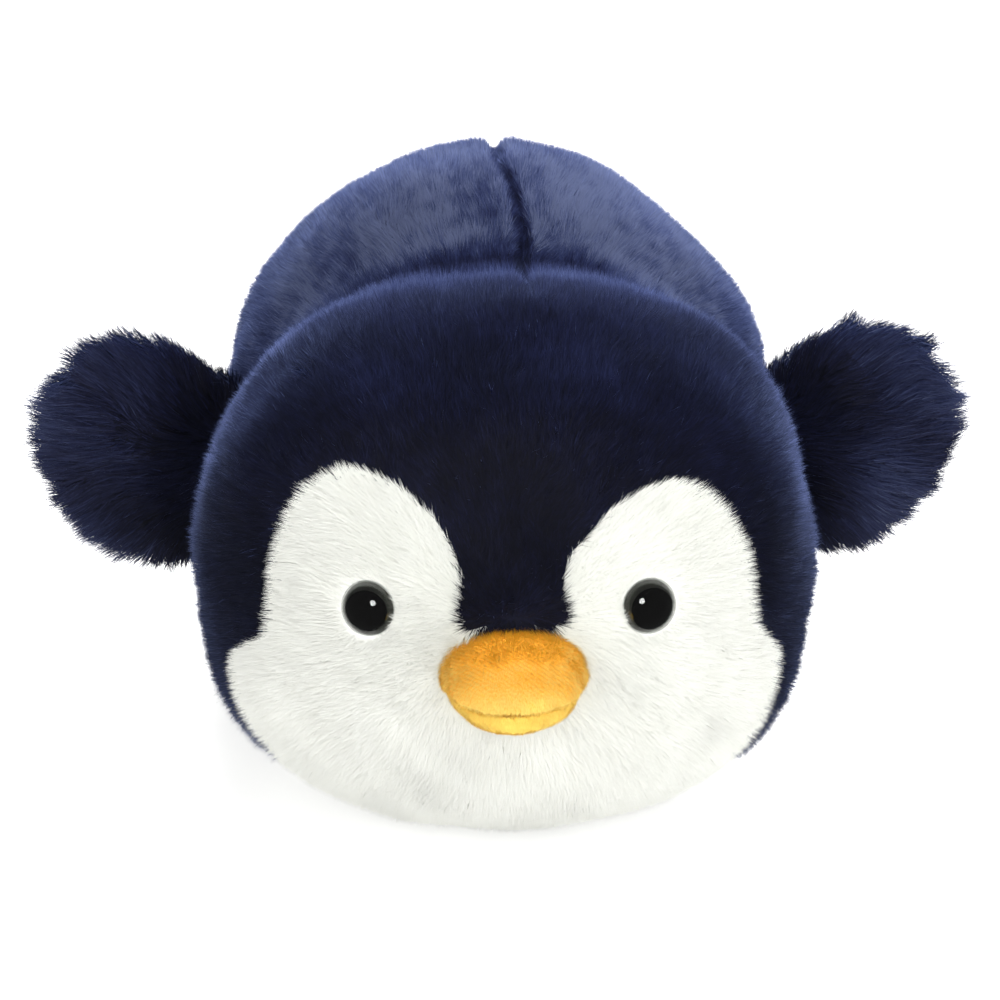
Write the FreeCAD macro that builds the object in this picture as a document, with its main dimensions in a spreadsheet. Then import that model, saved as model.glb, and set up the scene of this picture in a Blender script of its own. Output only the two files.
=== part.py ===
"""Plush penguin lying on its belly, as a sewn and stuffed assembly of separate pieces.

Frame: millimetres, +Z up, the penguin faces -Y, its own left side is +X.  The origin is on the
ground under the middle of the toy.  Every solid of a fabric piece is as thick as its backing and
its pile together, so the outside of the panels is where the pile ends.
"""
import FreeCAD, Part
import math
import os
import Sketcher

Vector = FreeCAD.Vector
Rotation = FreeCAD.Rotation
Placement = FreeCAD.Placement

doc = FreeCAD.newDocument("plush_penguin")

# ---------------------------------------------------------------- driving dimensions, millimetres
DIMENSIONS = {
    # head: the front bulge of the bolster
    "head_half_width": 85.3,
    "head_half_length": 79.0,
    "head_half_height": 76.5,
    "head_mid_y": -45.5,
    "head_mid_z": 75.0,
    # trunk: the rear bulge
    "trunk_half_width": 84.5,
    "trunk_half_length": 84.5,
    "trunk_half_height": 83.0,
    "trunk_mid_y": 41.0,
    "trunk_mid_z": 79.0,
    # neck: a fuller waist that keeps the crease between the two bulges shallow
    "waist_half_width": 79.3,
    "waist_half_length": 46.0,
    "waist_half_height": 76.0,
    "waist_mid_y": -2.0,
    "waist_mid_z": 77.0,
    "neck_y": -2.0,
    "wall": 8.0,
    "gap": 0.3,
    "reach": 400.0,
    # panel outlines, seen from the front
    "lobe_half_width": 25.0,
    "lobe_half_height": 31.0,
    "lobe_x": 38.5,
    "lobe_z": 92.0,
    "cheek_half_width": 76.5,
    "cheek_half_height": 36.0,
    "cheek_z": 48.0,
    "chin_seam_y": -68.0,
    "belly_seam_z": 32.0,
    # beak
    "beak_half_width": 19.0,
    "beak_half_length": 24.0,
    "beak_half_height": 14.0,
    "beak_y": -116.0,
    "beak_z": 72.5,
    "beak_mouth_z": 67.0,
    "beak_wall": 2.5,
    # safety eyes
    "eye_x": 36.5,
    "eye_z": 89.0,
    "eye_radius": 7.5,
    "eye_cap_height": 6.0,
    "eye_plate_thickness": 1.5,
    "eye_proud": 1.5,
    "seat_height": 40.0,
    "shank_radius": 2.3,
    "shank_length": 12.0,
    "shank_clearance": 0.1,
    "washer_radius": 8.5,
    "washer_thickness": 1.6,
    "washer_setback": 1.6,
    # pellet pouch in the belly
    "pouch_half_width": 46.0,
    "pouch_half_length": 48.0,
    "pouch_half_height": 20.0,
    "pouch_y": 42.0,
    "pouch_z": 38.0,
    "pouch_wall": 1.0,
    # flippers
    "flipper_half_width": 27.0,
    "flipper_half_thick": 10.5,
    "flipper_half_height": 37.5,
    "flipper_x": 109.5,
    "flipper_z": 81.5,
    "flipper_root_x": 84.0,
    "flipper_wall": 4.0,
    "tongue_x": 80.8,
    "tongue_overlap": 4.0,
    "tongue_half_thick": 1.3,
    "tongue_half_height": 22.0,
    # feet
    "foot_half_width": 16.0,
    "foot_half_length": 20.0,
    "foot_half_thick": 7.5,
    "foot_x": 34.0,
    "foot_y": 109.5,
    "foot_z": 10.6,
    "foot_droop": 16.0,
    "foot_wall": 2.5,
    # tail
    "tail_half_width": 15.0,
    "tail_half_length": 15.0,
    "tail_half_thick": 6.5,
    "tail_clearance": 3.0,
    "tail_y": 125.0,
    "tail_z": 48.0,
    "tail_wall": 3.0,
    # sewn-in label and closing seam
    "label_width": 16.0,
    "label_drop": 14.0,
    "label_thickness": 0.8,
    "label_x": 52.0,
    "stitch_radius": 0.4,
    "stitch_length": 5.0,
    "stitch_pitch": 6.0,
}
STITCHES = 7
SLOPE_STEP = 1.0

sheet = doc.addObject("Spreadsheet::Sheet", "sizes")
for row, (alias, size) in enumerate(DIMENSIONS.items(), start=1):
    sheet.set(f"A{row}", alias)
    sheet.set(f"B{row}", str(size))
    sheet.setAlias(f"B{row}", alias)
doc.recompute()


def size_of(alias):
    """Returns a driving dimension, read back from the sheet."""
    return float(sheet.get(alias))


def bind(obj, **expressions):
    """Binds properties of an object to the sheet; every name in braces is an alias."""
    for name, text in expressions.items():
        obj.setExpression(name.replace("__", "."), text.replace("{", "sizes.").replace("}", ""))
    return obj


def place(obj, x="0", y="0", z="0"):
    """Binds an object's position to expressions of the sheet."""
    return bind(obj, Placement__Base__x=x, Placement__Base__y=y, Placement__Base__z=z)


def ellipsoid(name, half_x, half_y, half_z, x="0", y="0", z="0"):
    """Makes a full ellipsoid from three half sizes and a centre, all of them expressions."""
    obj = doc.addObject("Part::Ellipsoid", name)
    bind(obj, Radius1=half_z, Radius2=half_x, Radius3=half_y)
    return place(obj, x, y, z)


def box(name, low, high):
    """Makes a box between two corners given as expressions."""
    obj = doc.addObject("Part::Box", name)
    spans = [f"({top}) - ({bottom})" for bottom, top in zip(low, high)]
    bind(obj, Length=spans[0], Width=spans[1], Height=spans[2])
    return place(obj, *low)


def cylinder(name, radius, height, z="0"):
    """Makes an upright cylinder on the local axis, starting at z."""
    obj = doc.addObject("Part::Cylinder", name)
    bind(obj, Radius=radius, Height=height)
    return place(obj, z=z)


def fuse(name, *shapes):
    """Joins shapes into one."""
    obj = doc.addObject("Part::MultiFuse", name)
    obj.Shapes = list(shapes)
    return obj


def common(name, *shapes):
    """Keeps what all the shapes share."""
    obj = doc.addObject("Part::MultiCommon", name)
    obj.Shapes = list(shapes)
    return obj


def cut(name, base, tool):
    """Takes the tool away from the base."""
    obj = doc.addObject("Part::Cut", name)
    obj.Base = base
    obj.Tool = tool
    return obj


SUBPARTS = []


def subpart(obj, label):
    """Names an object as one finished piece."""
    obj.Label = label
    SUBPARTS.append(obj)
    return obj


def pair(obj, label):
    """Names a piece on the left side, and makes its mirror image on the right."""
    subpart(obj, f"{label}_left")
    return subpart(mirrored(obj), f"{label}_right")


def mirrored(obj):
    """Mirrors an object to the right side."""
    twin = doc.addObject("Part::Mirroring", f"{obj.Name}_twin")
    twin.Source = obj
    twin.Normal = Vector(1, 0, 0)
    return twin


def half_space(name, axis, positive, at="0"):
    """Makes a large box on one side of a plane that is square to an axis."""
    low = ["-{reach}", "-{reach}", "-{reach}"]
    high = ["{reach}", "{reach}", "{reach}"]
    if positive:
        low[axis] = at
    else:
        high[axis] = at
    return box(name, low, high)


# ---------------------------------------------------------------- the bolster: outside and inside
def bulge(name, which, inset):
    """Makes the ellipsoid of the head, the trunk or the waist, drawn in by an inset."""
    return ellipsoid(
        name,
        f"{{{which}_half_width}} - ({inset})",
        f"{{{which}_half_length}} - ({inset})",
        f"{{{which}_half_height}} - ({inset})",
        y=f"{{{which}_mid_y}}",
        z=f"{{{which}_mid_z}}",
    )


def bolster(name, inset):
    """Makes head and trunk as one solid, flat where the toy lies on the ground."""
    bulges = [bulge(f"{name}_{which}", which, inset) for which in ("head", "waist", "trunk")]
    above = half_space(f"{name}_ground", 2, True, inset)
    return common(name, fuse(f"{name}_round", *bulges), above)


outside = bolster("outside", "0")
inside = bolster("inside", "{wall}")
stuffing = bolster("stuffing", "{wall} + {gap}")
shell = cut("shell", outside, inside)


def prism(name, half_x, half_z, x, z):
    """Makes an elliptic prism that runs back from in front of the face to the chin seam."""
    ring = doc.addObject("Part::Ellipse", f"{name}_ring")
    upright = size_of(half_z) > size_of(half_x)
    wide, narrow = (half_z, half_x) if upright else (half_x, half_z)
    bind(ring, MajorRadius=f"{{{wide}}}", MinorRadius=f"{{{narrow}}}")
    turn = Rotation(Vector(0, 1, 0), 90.0) if upright else Rotation()
    ring.Placement = Placement(Vector(), turn * Rotation(Vector(1, 0, 0), 90.0))
    place(ring, x, "-{reach}", z)
    solid = doc.addObject("Part::Extrusion", name)
    solid.Base = ring
    solid.DirMode = "Custom"
    solid.Dir = Vector(0, 1, 0)
    solid.Solid = True
    return bind(solid, LengthFwd="{reach} + {chin_seam_y}")


face_cutter = fuse(
    "face_cutter",
    prism("lobe_left", "lobe_half_width", "lobe_half_height", "{lobe_x}", "{lobe_z}"),
    prism("lobe_right", "lobe_half_width", "lobe_half_height", "-{lobe_x}", "{lobe_z}"),
    prism("cheeks", "cheek_half_width", "cheek_half_height", "0", "{cheek_z}"),
    box("chin", ["-{reach}", "-{reach}", "-{reach}"], ["{reach}", "{chin_seam_y}", "{belly_seam_z}"]),
)
belly_cutter = box(
    "belly_cutter", ["-{reach}", "{chin_seam_y}", "-{reach}"], ["{reach}", "{reach}", "{belly_seam_z}"])
navy_cutter = fuse("navy_cutter", face_cutter, belly_cutter)
in_front = half_space("in_front", 1, False, "{neck_y}")
behind = half_space("behind", 1, True, "{neck_y}")
left_side = half_space("left_side", 0, True)
right_side = half_space("right_side", 0, False)
navy_shell = cut("navy_shell", shell, navy_cutter)

# ---------------------------------------------------------------- safety eyes
eye_height = size_of("eye_z") - size_of("head_mid_z")
eye_depth = size_of("head_half_length") * math.sqrt(
    1.0
    - (size_of("eye_x") / size_of("head_half_width")) ** 2
    - (eye_height / size_of("head_half_height")) ** 2
)
eye_normal = Vector(
    size_of("eye_x") / size_of("head_half_width") ** 2,
    -eye_depth / size_of("head_half_length") ** 2,
    eye_height / size_of("head_half_height") ** 2,
)


def eye_place():
    """Returns where the left eye sits: on the head's surface, its local +Z straight out of it."""
    spot = Vector(size_of("eye_x"), size_of("head_mid_y") - eye_depth, size_of("eye_z"))
    return Placement(spot, Rotation(Vector(0, 0, 1), eye_normal))


PLATE_BACK = "{eye_proud} - {eye_cap_height} - {eye_plate_thickness}"


def revolved(name, corners, constraints):
    """Makes a Body turned about its Z axis from a closed outline of straight edges in XZ.

    corners are rough (radius, height) pairs; constraints binds each one to expressions.
    """
    body = doc.addObject("PartDesign::Body", name)
    plane = next(f for f in body.Origin.OriginFeatures if f.Role == "XZ_Plane")
    sketch = body.newObject("Sketcher::SketchObject", f"{name}_profile")
    sketch.AttachmentSupport = [(plane, "")]
    sketch.MapMode = "FlatFace"
    count = len(corners)
    for index, (radius, height) in enumerate(corners):
        after = corners[(index + 1) % count]
        sketch.addGeometry(Part.LineSegment(Vector(radius, height, 0), Vector(after[0], after[1], 0)))
    for index in range(count):
        sketch.addConstraint(Sketcher.Constraint("Coincident", index, 2, (index + 1) % count, 1))
    for index, (radius, height) in enumerate(constraints):
        rough_radius, rough_height = corners[index]
        for kind, text, rough in (("DistanceX", radius, rough_radius), ("DistanceY", height, rough_height)):
            number = sketch.addConstraint(Sketcher.Constraint(kind, -1, 1, index, 1, rough))
            sketch.setExpression(f"Constraints[{number}]", text.replace("{", "sizes.").replace("}", ""))
    turn = body.newObject("PartDesign::Revolution", f"{name}_turn")
    turn.Profile = sketch
    turn.ReferenceAxis = (sketch, ["V_Axis"])
    turn.Angle = 360.0
    body.Tip = turn
    return body


def eye():
    """Makes the safety eyes: clear cap, plate with its shank, and lock washer.

    Returns the opening that the face panel has for one eye, and the pocket that the filling has.
    """
    where = eye_place()

    cap = doc.addObject("Part::Ellipsoid", "cap")
    bind(cap, Radius1="{eye_cap_height}", Radius2="{eye_radius}", Radius3="{eye_radius}")
    cap.Angle1 = 0.0
    plate_top = size_of("eye_proud") - size_of("eye_cap_height")
    cap.Placement = where * Placement(Vector(0, 0, plate_top), Rotation())
    pair(cap, "eye_cap")

    plate_back = plate_top - size_of("eye_plate_thickness")
    tip = plate_back - size_of("shank_length")
    base = revolved(
        "base",
        [(0, tip), (size_of("shank_radius"), tip), (size_of("shank_radius"), plate_back),
         (size_of("eye_radius"), plate_back), (size_of("eye_radius"), plate_top), (0, plate_top)],
        [("0", f"{PLATE_BACK} - {{shank_length}}"), ("{shank_radius}", f"{PLATE_BACK} - {{shank_length}}"),
         ("{shank_radius}", PLATE_BACK), ("{eye_radius}", PLATE_BACK),
         ("{eye_radius}", "{eye_proud} - {eye_cap_height}"), ("0", "{eye_proud} - {eye_cap_height}")],
    )
    base.Placement = where
    pair(base, "eye_base")

    washer_front = -size_of("wall") - size_of("washer_setback")
    washer_back = washer_front - size_of("washer_thickness")
    bore = size_of("shank_radius") + size_of("shank_clearance")
    front_text = "-{wall} - {washer_setback}"
    bore_text = "{shank_radius} + {shank_clearance}"
    washer = revolved(
        "washer",
        [(bore, washer_back), (size_of("washer_radius"), washer_back),
         (size_of("washer_radius"), washer_front), (bore, washer_front)],
        [(bore_text, f"{front_text} - {{washer_thickness}}"),
         ("{washer_radius}", f"{front_text} - {{washer_thickness}}"),
         ("{washer_radius}", front_text), (bore_text, front_text)],
    )
    washer.Placement = where
    pair(washer, "eye_washer")

    seat = cylinder("seat", "{eye_radius} + {gap}", "{seat_height}", f"{PLATE_BACK} - {{gap}}")
    hole = cylinder("hole", "{shank_radius} + {gap}", "{shank_length} + {gap}",
                    f"{PLATE_BACK} - {{shank_length}} - {{gap}}")
    nest = cylinder("nest", "{washer_radius} + {gap}", "{washer_thickness} + {washer_setback} + {gap}",
                    f"{front_text} - {{washer_thickness}} - {{gap}}")
    pocket = fuse("pocket", seat, hole, nest)
    pocket.Placement = where
    opening = fuse("opening", seat, hole)
    opening.Placement = where
    return opening, pocket


eye_opening, eye_pocket = eye()
openings = fuse("openings", eye_opening, mirrored(eye_opening))
pockets = fuse("pockets", eye_pocket, mirrored(eye_pocket))

# ---------------------------------------------------------------- plush panels of the bolster
subpart(common("hood", navy_shell, in_front), "hood_panel")
subpart(common("back_left", navy_shell, behind, left_side), "back_panel_left")
subpart(common("back_right", navy_shell, behind, right_side), "back_panel_right")
subpart(common("belly", shell, belly_cutter), "belly_panel")
subpart(cut("face", common("face_blank", shell, face_cutter), openings), "face_panel")


# ---------------------------------------------------------------- filling and pellet pouch
def pouch(name, inset):
    """Makes the pouch ellipsoid, drawn in by an inset."""
    return ellipsoid(
        name,
        f"{{pouch_half_width}} - ({inset})",
        f"{{pouch_half_length}} - ({inset})",
        f"{{pouch_half_height}} - ({inset})",
        y="{pouch_y}",
        z="{pouch_z}",
    )


subpart(cut("pouch_cloth", pouch("pouch_out", "0"), pouch("pouch_in", "{pouch_wall}")), "pouch_bag")
subpart(pouch("pellets", "{pouch_wall} + {gap}"), "pouch_pellets")
hollows = fuse("hollows", pockets, pouch("pouch_room", "-{gap}"))
subpart(cut("fibre", stuffing, hollows), "body_fill")


# ---------------------------------------------------------------- beak
def beak(name, inset):
    """Makes the beak ellipsoid, drawn in by an inset."""
    return ellipsoid(
        name,
        f"{{beak_half_width}} - ({inset})",
        f"{{beak_half_length}} - ({inset})",
        f"{{beak_half_height}} - ({inset})",
        y="{beak_y}",
        z="{beak_z}",
    )


face_backing = bulge("face_backing", "head", "-{gap}")
beak_hollow = cut("beak_hollow", beak("beak_out", "0"), beak("beak_in", "{beak_wall}"))
beak_cloth = cut("beak_cloth", beak_hollow, face_backing)
over_mouth = half_space("over_mouth", 2, True, "{beak_mouth_z}")
under_mouth = half_space("under_mouth", 2, False, "{beak_mouth_z}")
subpart(common("beak_top", beak_cloth, over_mouth), "beak_upper")
subpart(common("beak_bottom", beak_cloth, under_mouth), "beak_lower")
subpart(cut("beak_fibre", beak("beak_core", "{beak_wall} + {gap}"), face_backing), "beak_fill")


# ---------------------------------------------------------------- flippers
def flipper_pad(tag, inset):
    """Makes the ellipsoid of the left flipper, drawn in by an inset."""
    return ellipsoid(
        f"flipper_{tag}",
        f"{{flipper_half_width}} - ({inset})",
        f"{{flipper_half_thick}} - ({inset})",
        f"{{flipper_half_height}} - ({inset})",
        x="{flipper_x}",
        y="{neck_y}",
        z="{flipper_z}",
    )


def flippers():
    """Makes both flippers: two pile panels sewn round a thin filling, and the root tongue."""
    tongue_end = "{flipper_root_x} + {tongue_overlap}"
    tongue = box(
        "tongue",
        ["{tongue_x}", "{neck_y} - {tongue_half_thick}", "{flipper_z} - {tongue_half_height}"],
        [tongue_end, "{neck_y}", "{flipper_z} + {tongue_half_height}"],
    )
    outboard = half_space("outboard", 0, True, "{flipper_root_x}")
    hollow = cut("flipper_hollow", flipper_pad("out", "0"), flipper_pad("in", "{flipper_wall}"))
    cloth = common("flipper_cloth", hollow, outboard)
    front_cloth = common("flipper_front_cloth", cloth, half_space("flipper_ahead", 1, False, "{neck_y}"))
    pair(fuse("flipper_front_panel", front_cloth, tongue), "flipper_front")
    astern = half_space("flipper_astern", 1, True, "{neck_y}")
    pair(common("flipper_rear_panel", cloth, astern), "flipper_back")
    core = flipper_pad("core", "{flipper_wall} + {gap}")
    past_tongue = half_space("past_tongue", 0, True, f"{tongue_end} + {{gap}}")
    pair(common("flipper_fibre", core, past_tongue), "flipper_fill")


flippers()


# ---------------------------------------------------------------- feet
def foot_pad(tag, inset):
    """Makes the ellipsoid of a foot in the foot's own frame, drawn in by an inset."""
    return ellipsoid(
        f"foot_{tag}",
        f"{{foot_half_width}} - ({inset})",
        f"{{foot_half_length}} - ({inset})",
        f"{{foot_half_thick}} - ({inset})",
    )


def feet():
    """Makes both feet: an upper and a sole of short pile round a filling, drooping to the ground."""
    cloth = cut("foot_cloth", foot_pad("out", "0"), foot_pad("in", "{foot_wall}"))
    pieces = {
        "foot_upper": common("foot_top", cloth, half_space("foot_over", 2, True)),
        "foot_sole": common("foot_bottom", cloth, half_space("foot_under", 2, False)),
        "foot_fill": foot_pad("core", "{foot_wall} + {gap}"),
    }
    for label, piece in pieces.items():
        piece.Placement.Rotation = Rotation(Vector(1, 0, 0), -size_of("foot_droop"))
        pair(place(piece, "{foot_x}", "{foot_y}", "{foot_z}"), label)


feet()


# ---------------------------------------------------------------- tail
def tail(name, inset):
    """Makes the tail ellipsoid, drawn in by an inset."""
    return ellipsoid(
        name,
        f"{{tail_half_width}} - ({inset})",
        f"{{tail_half_length}} - ({inset})",
        f"{{tail_half_thick}} - ({inset})",
        y="{tail_y}",
        z="{tail_z}",
    )


rump = bulge("rump", "trunk", "-{tail_clearance}")
tail_hollow = cut("tail_hollow", tail("tail_out", "0"), tail("tail_in", "{tail_wall}"))
tail_cloth = cut("tail_cloth", tail_hollow, rump)
subpart(common("tail_top", tail_cloth, half_space("over_tail", 2, True, "{tail_z}")), "tail_upper")
subpart(common("tail_bottom", tail_cloth, half_space("under_tail", 2, False, "{tail_z}")), "tail_lower")
subpart(cut("tail_fibre", tail("tail_core", "{tail_wall} + {gap}"), rump), "tail_fill")


# ---------------------------------------------------------------- label and closing stitches
def rump_y(x, z):
    """Returns how far back the trunk's surface is at a given x and z."""
    across = x / size_of("trunk_half_width")
    up = (z - size_of("trunk_mid_z")) / size_of("trunk_half_height")
    return size_of("trunk_mid_y") + size_of("trunk_half_length") * math.sqrt(1.0 - across**2 - up**2)


label_x = size_of("label_x")
label = doc.addObject("Part::Box", "label")
bind(label, Length="{label_width}", Width="{label_drop}", Height="{label_thickness}")
label_start = rump_y(label_x - size_of("label_width") / 2, size_of("belly_seam_z") + SLOPE_STEP)
label.Placement = Placement(
    Vector(label_x - size_of("label_width") / 2, label_start, size_of("belly_seam_z")), Rotation())
subpart(label, "care_label")

threads = []
for index in range(STITCHES):
    x = (index - (STITCHES - 1) / 2) * size_of("stitch_pitch")
    seam_z = size_of("belly_seam_z")
    rise = rump_y(x, seam_z + SLOPE_STEP) - rump_y(x, seam_z - SLOPE_STEP)
    slope = math.degrees(math.atan2(rise, 2 * SLOPE_STEP))
    thread = doc.addObject("Part::Cylinder", f"stitch_{index + 1}")
    bind(thread, Radius="{stitch_radius}", Height="{stitch_length}")
    turn = Rotation(Vector(1, 0, 0), -slope)
    along = turn.multVec(Vector(0, 0, 1))
    out = turn.multVec(Vector(0, 1, 0))
    middle = Vector(x, rump_y(x, seam_z), seam_z) + out * (size_of("stitch_radius") + size_of("gap"))
    thread.Placement = Placement(middle - along * (size_of("stitch_length") / 2), turn)
    threads.append(thread)
stitches = doc.addObject("Part::Compound", "stitches")
stitches.Links = threads
subpart(stitches, "closing_stitches")

# ---------------------------------------------------------------- check and write
doc.recompute()
for obj in doc.Objects:
    if "Invalid" in obj.State or "Error" in obj.State:
        raise RuntimeError(f"{obj.Name} ({obj.Label}) failed: {obj.State}")
os.makedirs("parts", exist_ok=True)
for obj in SUBPARTS:
    shape = obj.Shape
    if shape.isNull() or not shape.isValid() or not shape.Solids:
        raise RuntimeError(f"{obj.Label} has no valid solid")
    shape.exportStep(f"parts/{obj.Label}.step")
    bounds = shape.BoundBox
    print(
        f"{obj.Label:20s} solids {len(shape.Solids)}  volume {shape.Volume / 1000:8.2f} cm3  "
        f"x {bounds.XMin:7.1f} {bounds.XMax:7.1f}  y {bounds.YMin:7.1f} {bounds.YMax:7.1f}  "
        f"z {bounds.ZMin:6.1f} {bounds.ZMax:6.1f}"
    )
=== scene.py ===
"""Looks of the plush penguin: sewn pile panels, stuffed forms, safety eyes, beak, flippers, feet and tail.

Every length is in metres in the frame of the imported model: +Z up, the penguin faces -Y.  The sewn
backing of each panel is a skin that lies one pile height inside the outline of the pile, and the
pile itself is grown on it as tapered leaning blades, each of which stands for a few fibres.
"""

import logging
import math
from dataclasses import dataclass, field
from enum import Enum

import bmesh
import bpy
import numpy as np
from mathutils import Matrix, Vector, kdtree


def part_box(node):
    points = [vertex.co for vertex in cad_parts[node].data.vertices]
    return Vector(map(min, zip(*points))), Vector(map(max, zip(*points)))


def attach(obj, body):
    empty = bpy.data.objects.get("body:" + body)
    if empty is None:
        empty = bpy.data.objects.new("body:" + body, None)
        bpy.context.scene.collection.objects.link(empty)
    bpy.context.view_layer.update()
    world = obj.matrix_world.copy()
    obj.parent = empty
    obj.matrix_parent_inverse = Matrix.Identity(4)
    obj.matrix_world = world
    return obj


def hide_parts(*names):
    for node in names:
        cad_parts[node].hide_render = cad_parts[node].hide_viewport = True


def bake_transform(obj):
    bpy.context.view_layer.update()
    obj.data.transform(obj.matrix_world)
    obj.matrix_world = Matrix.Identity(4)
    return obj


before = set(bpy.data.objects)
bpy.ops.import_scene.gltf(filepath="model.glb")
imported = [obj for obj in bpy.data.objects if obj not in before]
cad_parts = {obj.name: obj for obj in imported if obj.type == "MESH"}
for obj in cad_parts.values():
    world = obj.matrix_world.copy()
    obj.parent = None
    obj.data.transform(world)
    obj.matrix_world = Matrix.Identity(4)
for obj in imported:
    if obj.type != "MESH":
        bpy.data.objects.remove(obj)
log = logging.getLogger("plush_penguin")

MM = 0.001
DETAIL = 1.0


# ------------------------------------------------------------------ colour and node helpers
def linear(code: str) -> tuple[float, float, float, float]:
    """Turns an sRGB hex colour into the linear values that shaders take.

    Args:
        code: Colour such as "#1b2050".

    Returns:
        Linear red, green and blue, and an alpha of 1.
    """
    parts = [int(code[i:i + 2], 16) / 255.0 for i in (1, 3, 5)]
    bent = [c / 12.92 if c <= 0.04045 else ((c + 0.055) / 1.055) ** 2.4 for c in parts]
    return bent[0], bent[1], bent[2], 1.0


def add_node(tree: bpy.types.NodeTree, kind: str, settings: dict | None = None,
             inputs: dict | None = None, links: dict | None = None) -> bpy.types.Node:
    """Adds one shader node.

    Args:
        tree: Node tree that the node goes into.
        kind: Node type, such as "ShaderNodeTexNoise".
        settings: Attributes of the node itself.
        inputs: Values for unlinked inputs, by socket name.
        links: Output sockets to connect, by the name of this node's input.

    Returns:
        The new node.
    """
    node = tree.nodes.new(kind)
    for name, value in (settings or {}).items():
        setattr(node, name, value)
    for name, value in (inputs or {}).items():
        node.inputs[name].default_value = value
    for name, output in (links or {}).items():
        tree.links.new(output, node.inputs[name])
    return node


def new_material(name: str) -> tuple[bpy.types.Material, bpy.types.NodeTree, bpy.types.Node]:
    """Makes an empty node material with one Principled shader on its output.

    Args:
        name: Name of the real material.

    Returns:
        The material, its node tree and the Principled node.
    """
    material = bpy.data.materials.new(name)
    material.use_nodes = True
    tree = material.node_tree
    tree.nodes.clear()
    shader = add_node(tree, "ShaderNodeBsdfPrincipled")
    add_node(tree, "ShaderNodeOutputMaterial", links={"Surface": shader.outputs["BSDF"]})
    return material, tree, shader


# ------------------------------------------------------------------ finishes
@dataclass(frozen=True)
class PileFinish:
    """Polyester plush fibre: brushed, cut pile; darker at the root, where light doesn't reach.

    The sheen makes the pile look pale where the eye grazes it; over the crown and the trunk the paleness is
    also painted light, in the lighter shades picked there.
    """

    name: str
    roots: tuple[str, ...]
    tips: tuple[str, ...]
    sheen: float
    sheen_colour: str
    roughness: float = 0.62

    def materials(self) -> list[bpy.types.Material]:
        """Makes the shades of the fibre.

        Returns:
            Root and tip material of every shade, in turn.
        """
        made = []
        for shade, (root, tip) in enumerate(zip(self.roots, self.tips)):
            for part, code, sheen in (("root", root, self.sheen * 0.4), ("tip", tip, self.sheen)):
                material, _, shader = new_material(f"{self.name}_{part}_{shade + 1}")
                shader.inputs["Base Color"].default_value = linear(code)
                shader.inputs["Roughness"].default_value = self.roughness
                shader.inputs["Specular IOR Level"].default_value = 0.25
                shader.inputs["Sheen Weight"].default_value = sheen
                shader.inputs["Sheen Roughness"].default_value = 0.38
                shader.inputs["Sheen Tint"].default_value = linear(self.sheen_colour)
                made.append(material)
        return made


@dataclass(frozen=True)
class KnitBacking:
    """Warp-knitted polyester backing under the pile: fine wales, seen only where the pile parts."""

    name: str
    dark: str
    light: str
    wale: float = 0.9 * MM

    def material(self) -> bpy.types.Material:
        """Makes the backing.

        Returns:
            A matt knit with mottled dye and raised wales.
        """
        material, tree, shader = new_material(self.name)
        place = add_node(tree, "ShaderNodeTexCoord")
        mottle = add_node(tree, "ShaderNodeTexNoise", inputs={"Scale": 0.25 / (6 * MM), "Detail": 4.0},
                          links={"Vector": place.outputs["Object"]})
        ramp = add_node(tree, "ShaderNodeValToRGB", links={"Fac": mottle.outputs["Fac"]})
        ramp.color_ramp.elements[0].color = linear(self.dark)
        ramp.color_ramp.elements[1].color = linear(self.light)
        wales = add_node(tree, "ShaderNodeTexWave", settings={"bands_direction": "DIAGONAL"},
                         inputs={"Scale": 0.31 / self.wale, "Distortion": 1.5, "Detail": 2.0},
                         links={"Vector": place.outputs["Object"]})
        bump = add_node(tree, "ShaderNodeBump", inputs={"Strength": 0.5, "Distance": 0.3 * MM},
                        links={"Height": wales.outputs["Fac"]})
        tree.links.new(ramp.outputs["Color"], shader.inputs["Base Color"])
        tree.links.new(bump.outputs["Normal"], shader.inputs["Normal"])
        shader.inputs["Roughness"].default_value = 0.9
        return material


@dataclass(frozen=True)
class MouldedPlastic:
    """Injection-moulded plastic, such as ABS or nylon, with a faint flow mottle."""

    name: str
    base: str
    shade: str
    roughness: float
    gloss: float = 0.5

    def material(self) -> bpy.types.Material:
        """Makes the plastic.

        Returns:
            A dielectric whose gloss comes from its roughness.
        """
        material, tree, shader = new_material(self.name)
        place = add_node(tree, "ShaderNodeTexCoord")
        flow = add_node(tree, "ShaderNodeTexNoise", inputs={"Scale": 1 / (4 * MM), "Detail": 2.0},
                        links={"Vector": place.outputs["Object"]})
        ramp = add_node(tree, "ShaderNodeValToRGB", links={"Fac": flow.outputs["Fac"]})
        ramp.color_ramp.elements[0].color = linear(self.shade)
        ramp.color_ramp.elements[1].color = linear(self.base)
        tree.links.new(ramp.outputs["Color"], shader.inputs["Base Color"])
        shader.inputs["Roughness"].default_value = self.roughness
        shader.inputs["IOR"].default_value = 1.53
        shader.inputs["Specular IOR Level"].default_value = self.gloss
        return material


@dataclass(frozen=True)
class ClearAcrylic:
    """Polished clear acrylic of the eye's cap: gives the wet highlight and the depth over the iris."""

    name: str = "clear_acrylic"

    def material(self) -> bpy.types.Material:
        """Makes the acrylic.

        Returns:
            A clear dielectric with the index of acrylic.
        """
        material, _, shader = new_material(self.name)
        shader.inputs["Base Color"].default_value = linear("#f4f6f6")
        shader.inputs["Transmission Weight"].default_value = 1.0
        shader.inputs["Roughness"].default_value = 0.02
        shader.inputs["IOR"].default_value = 1.49
        return material


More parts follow.
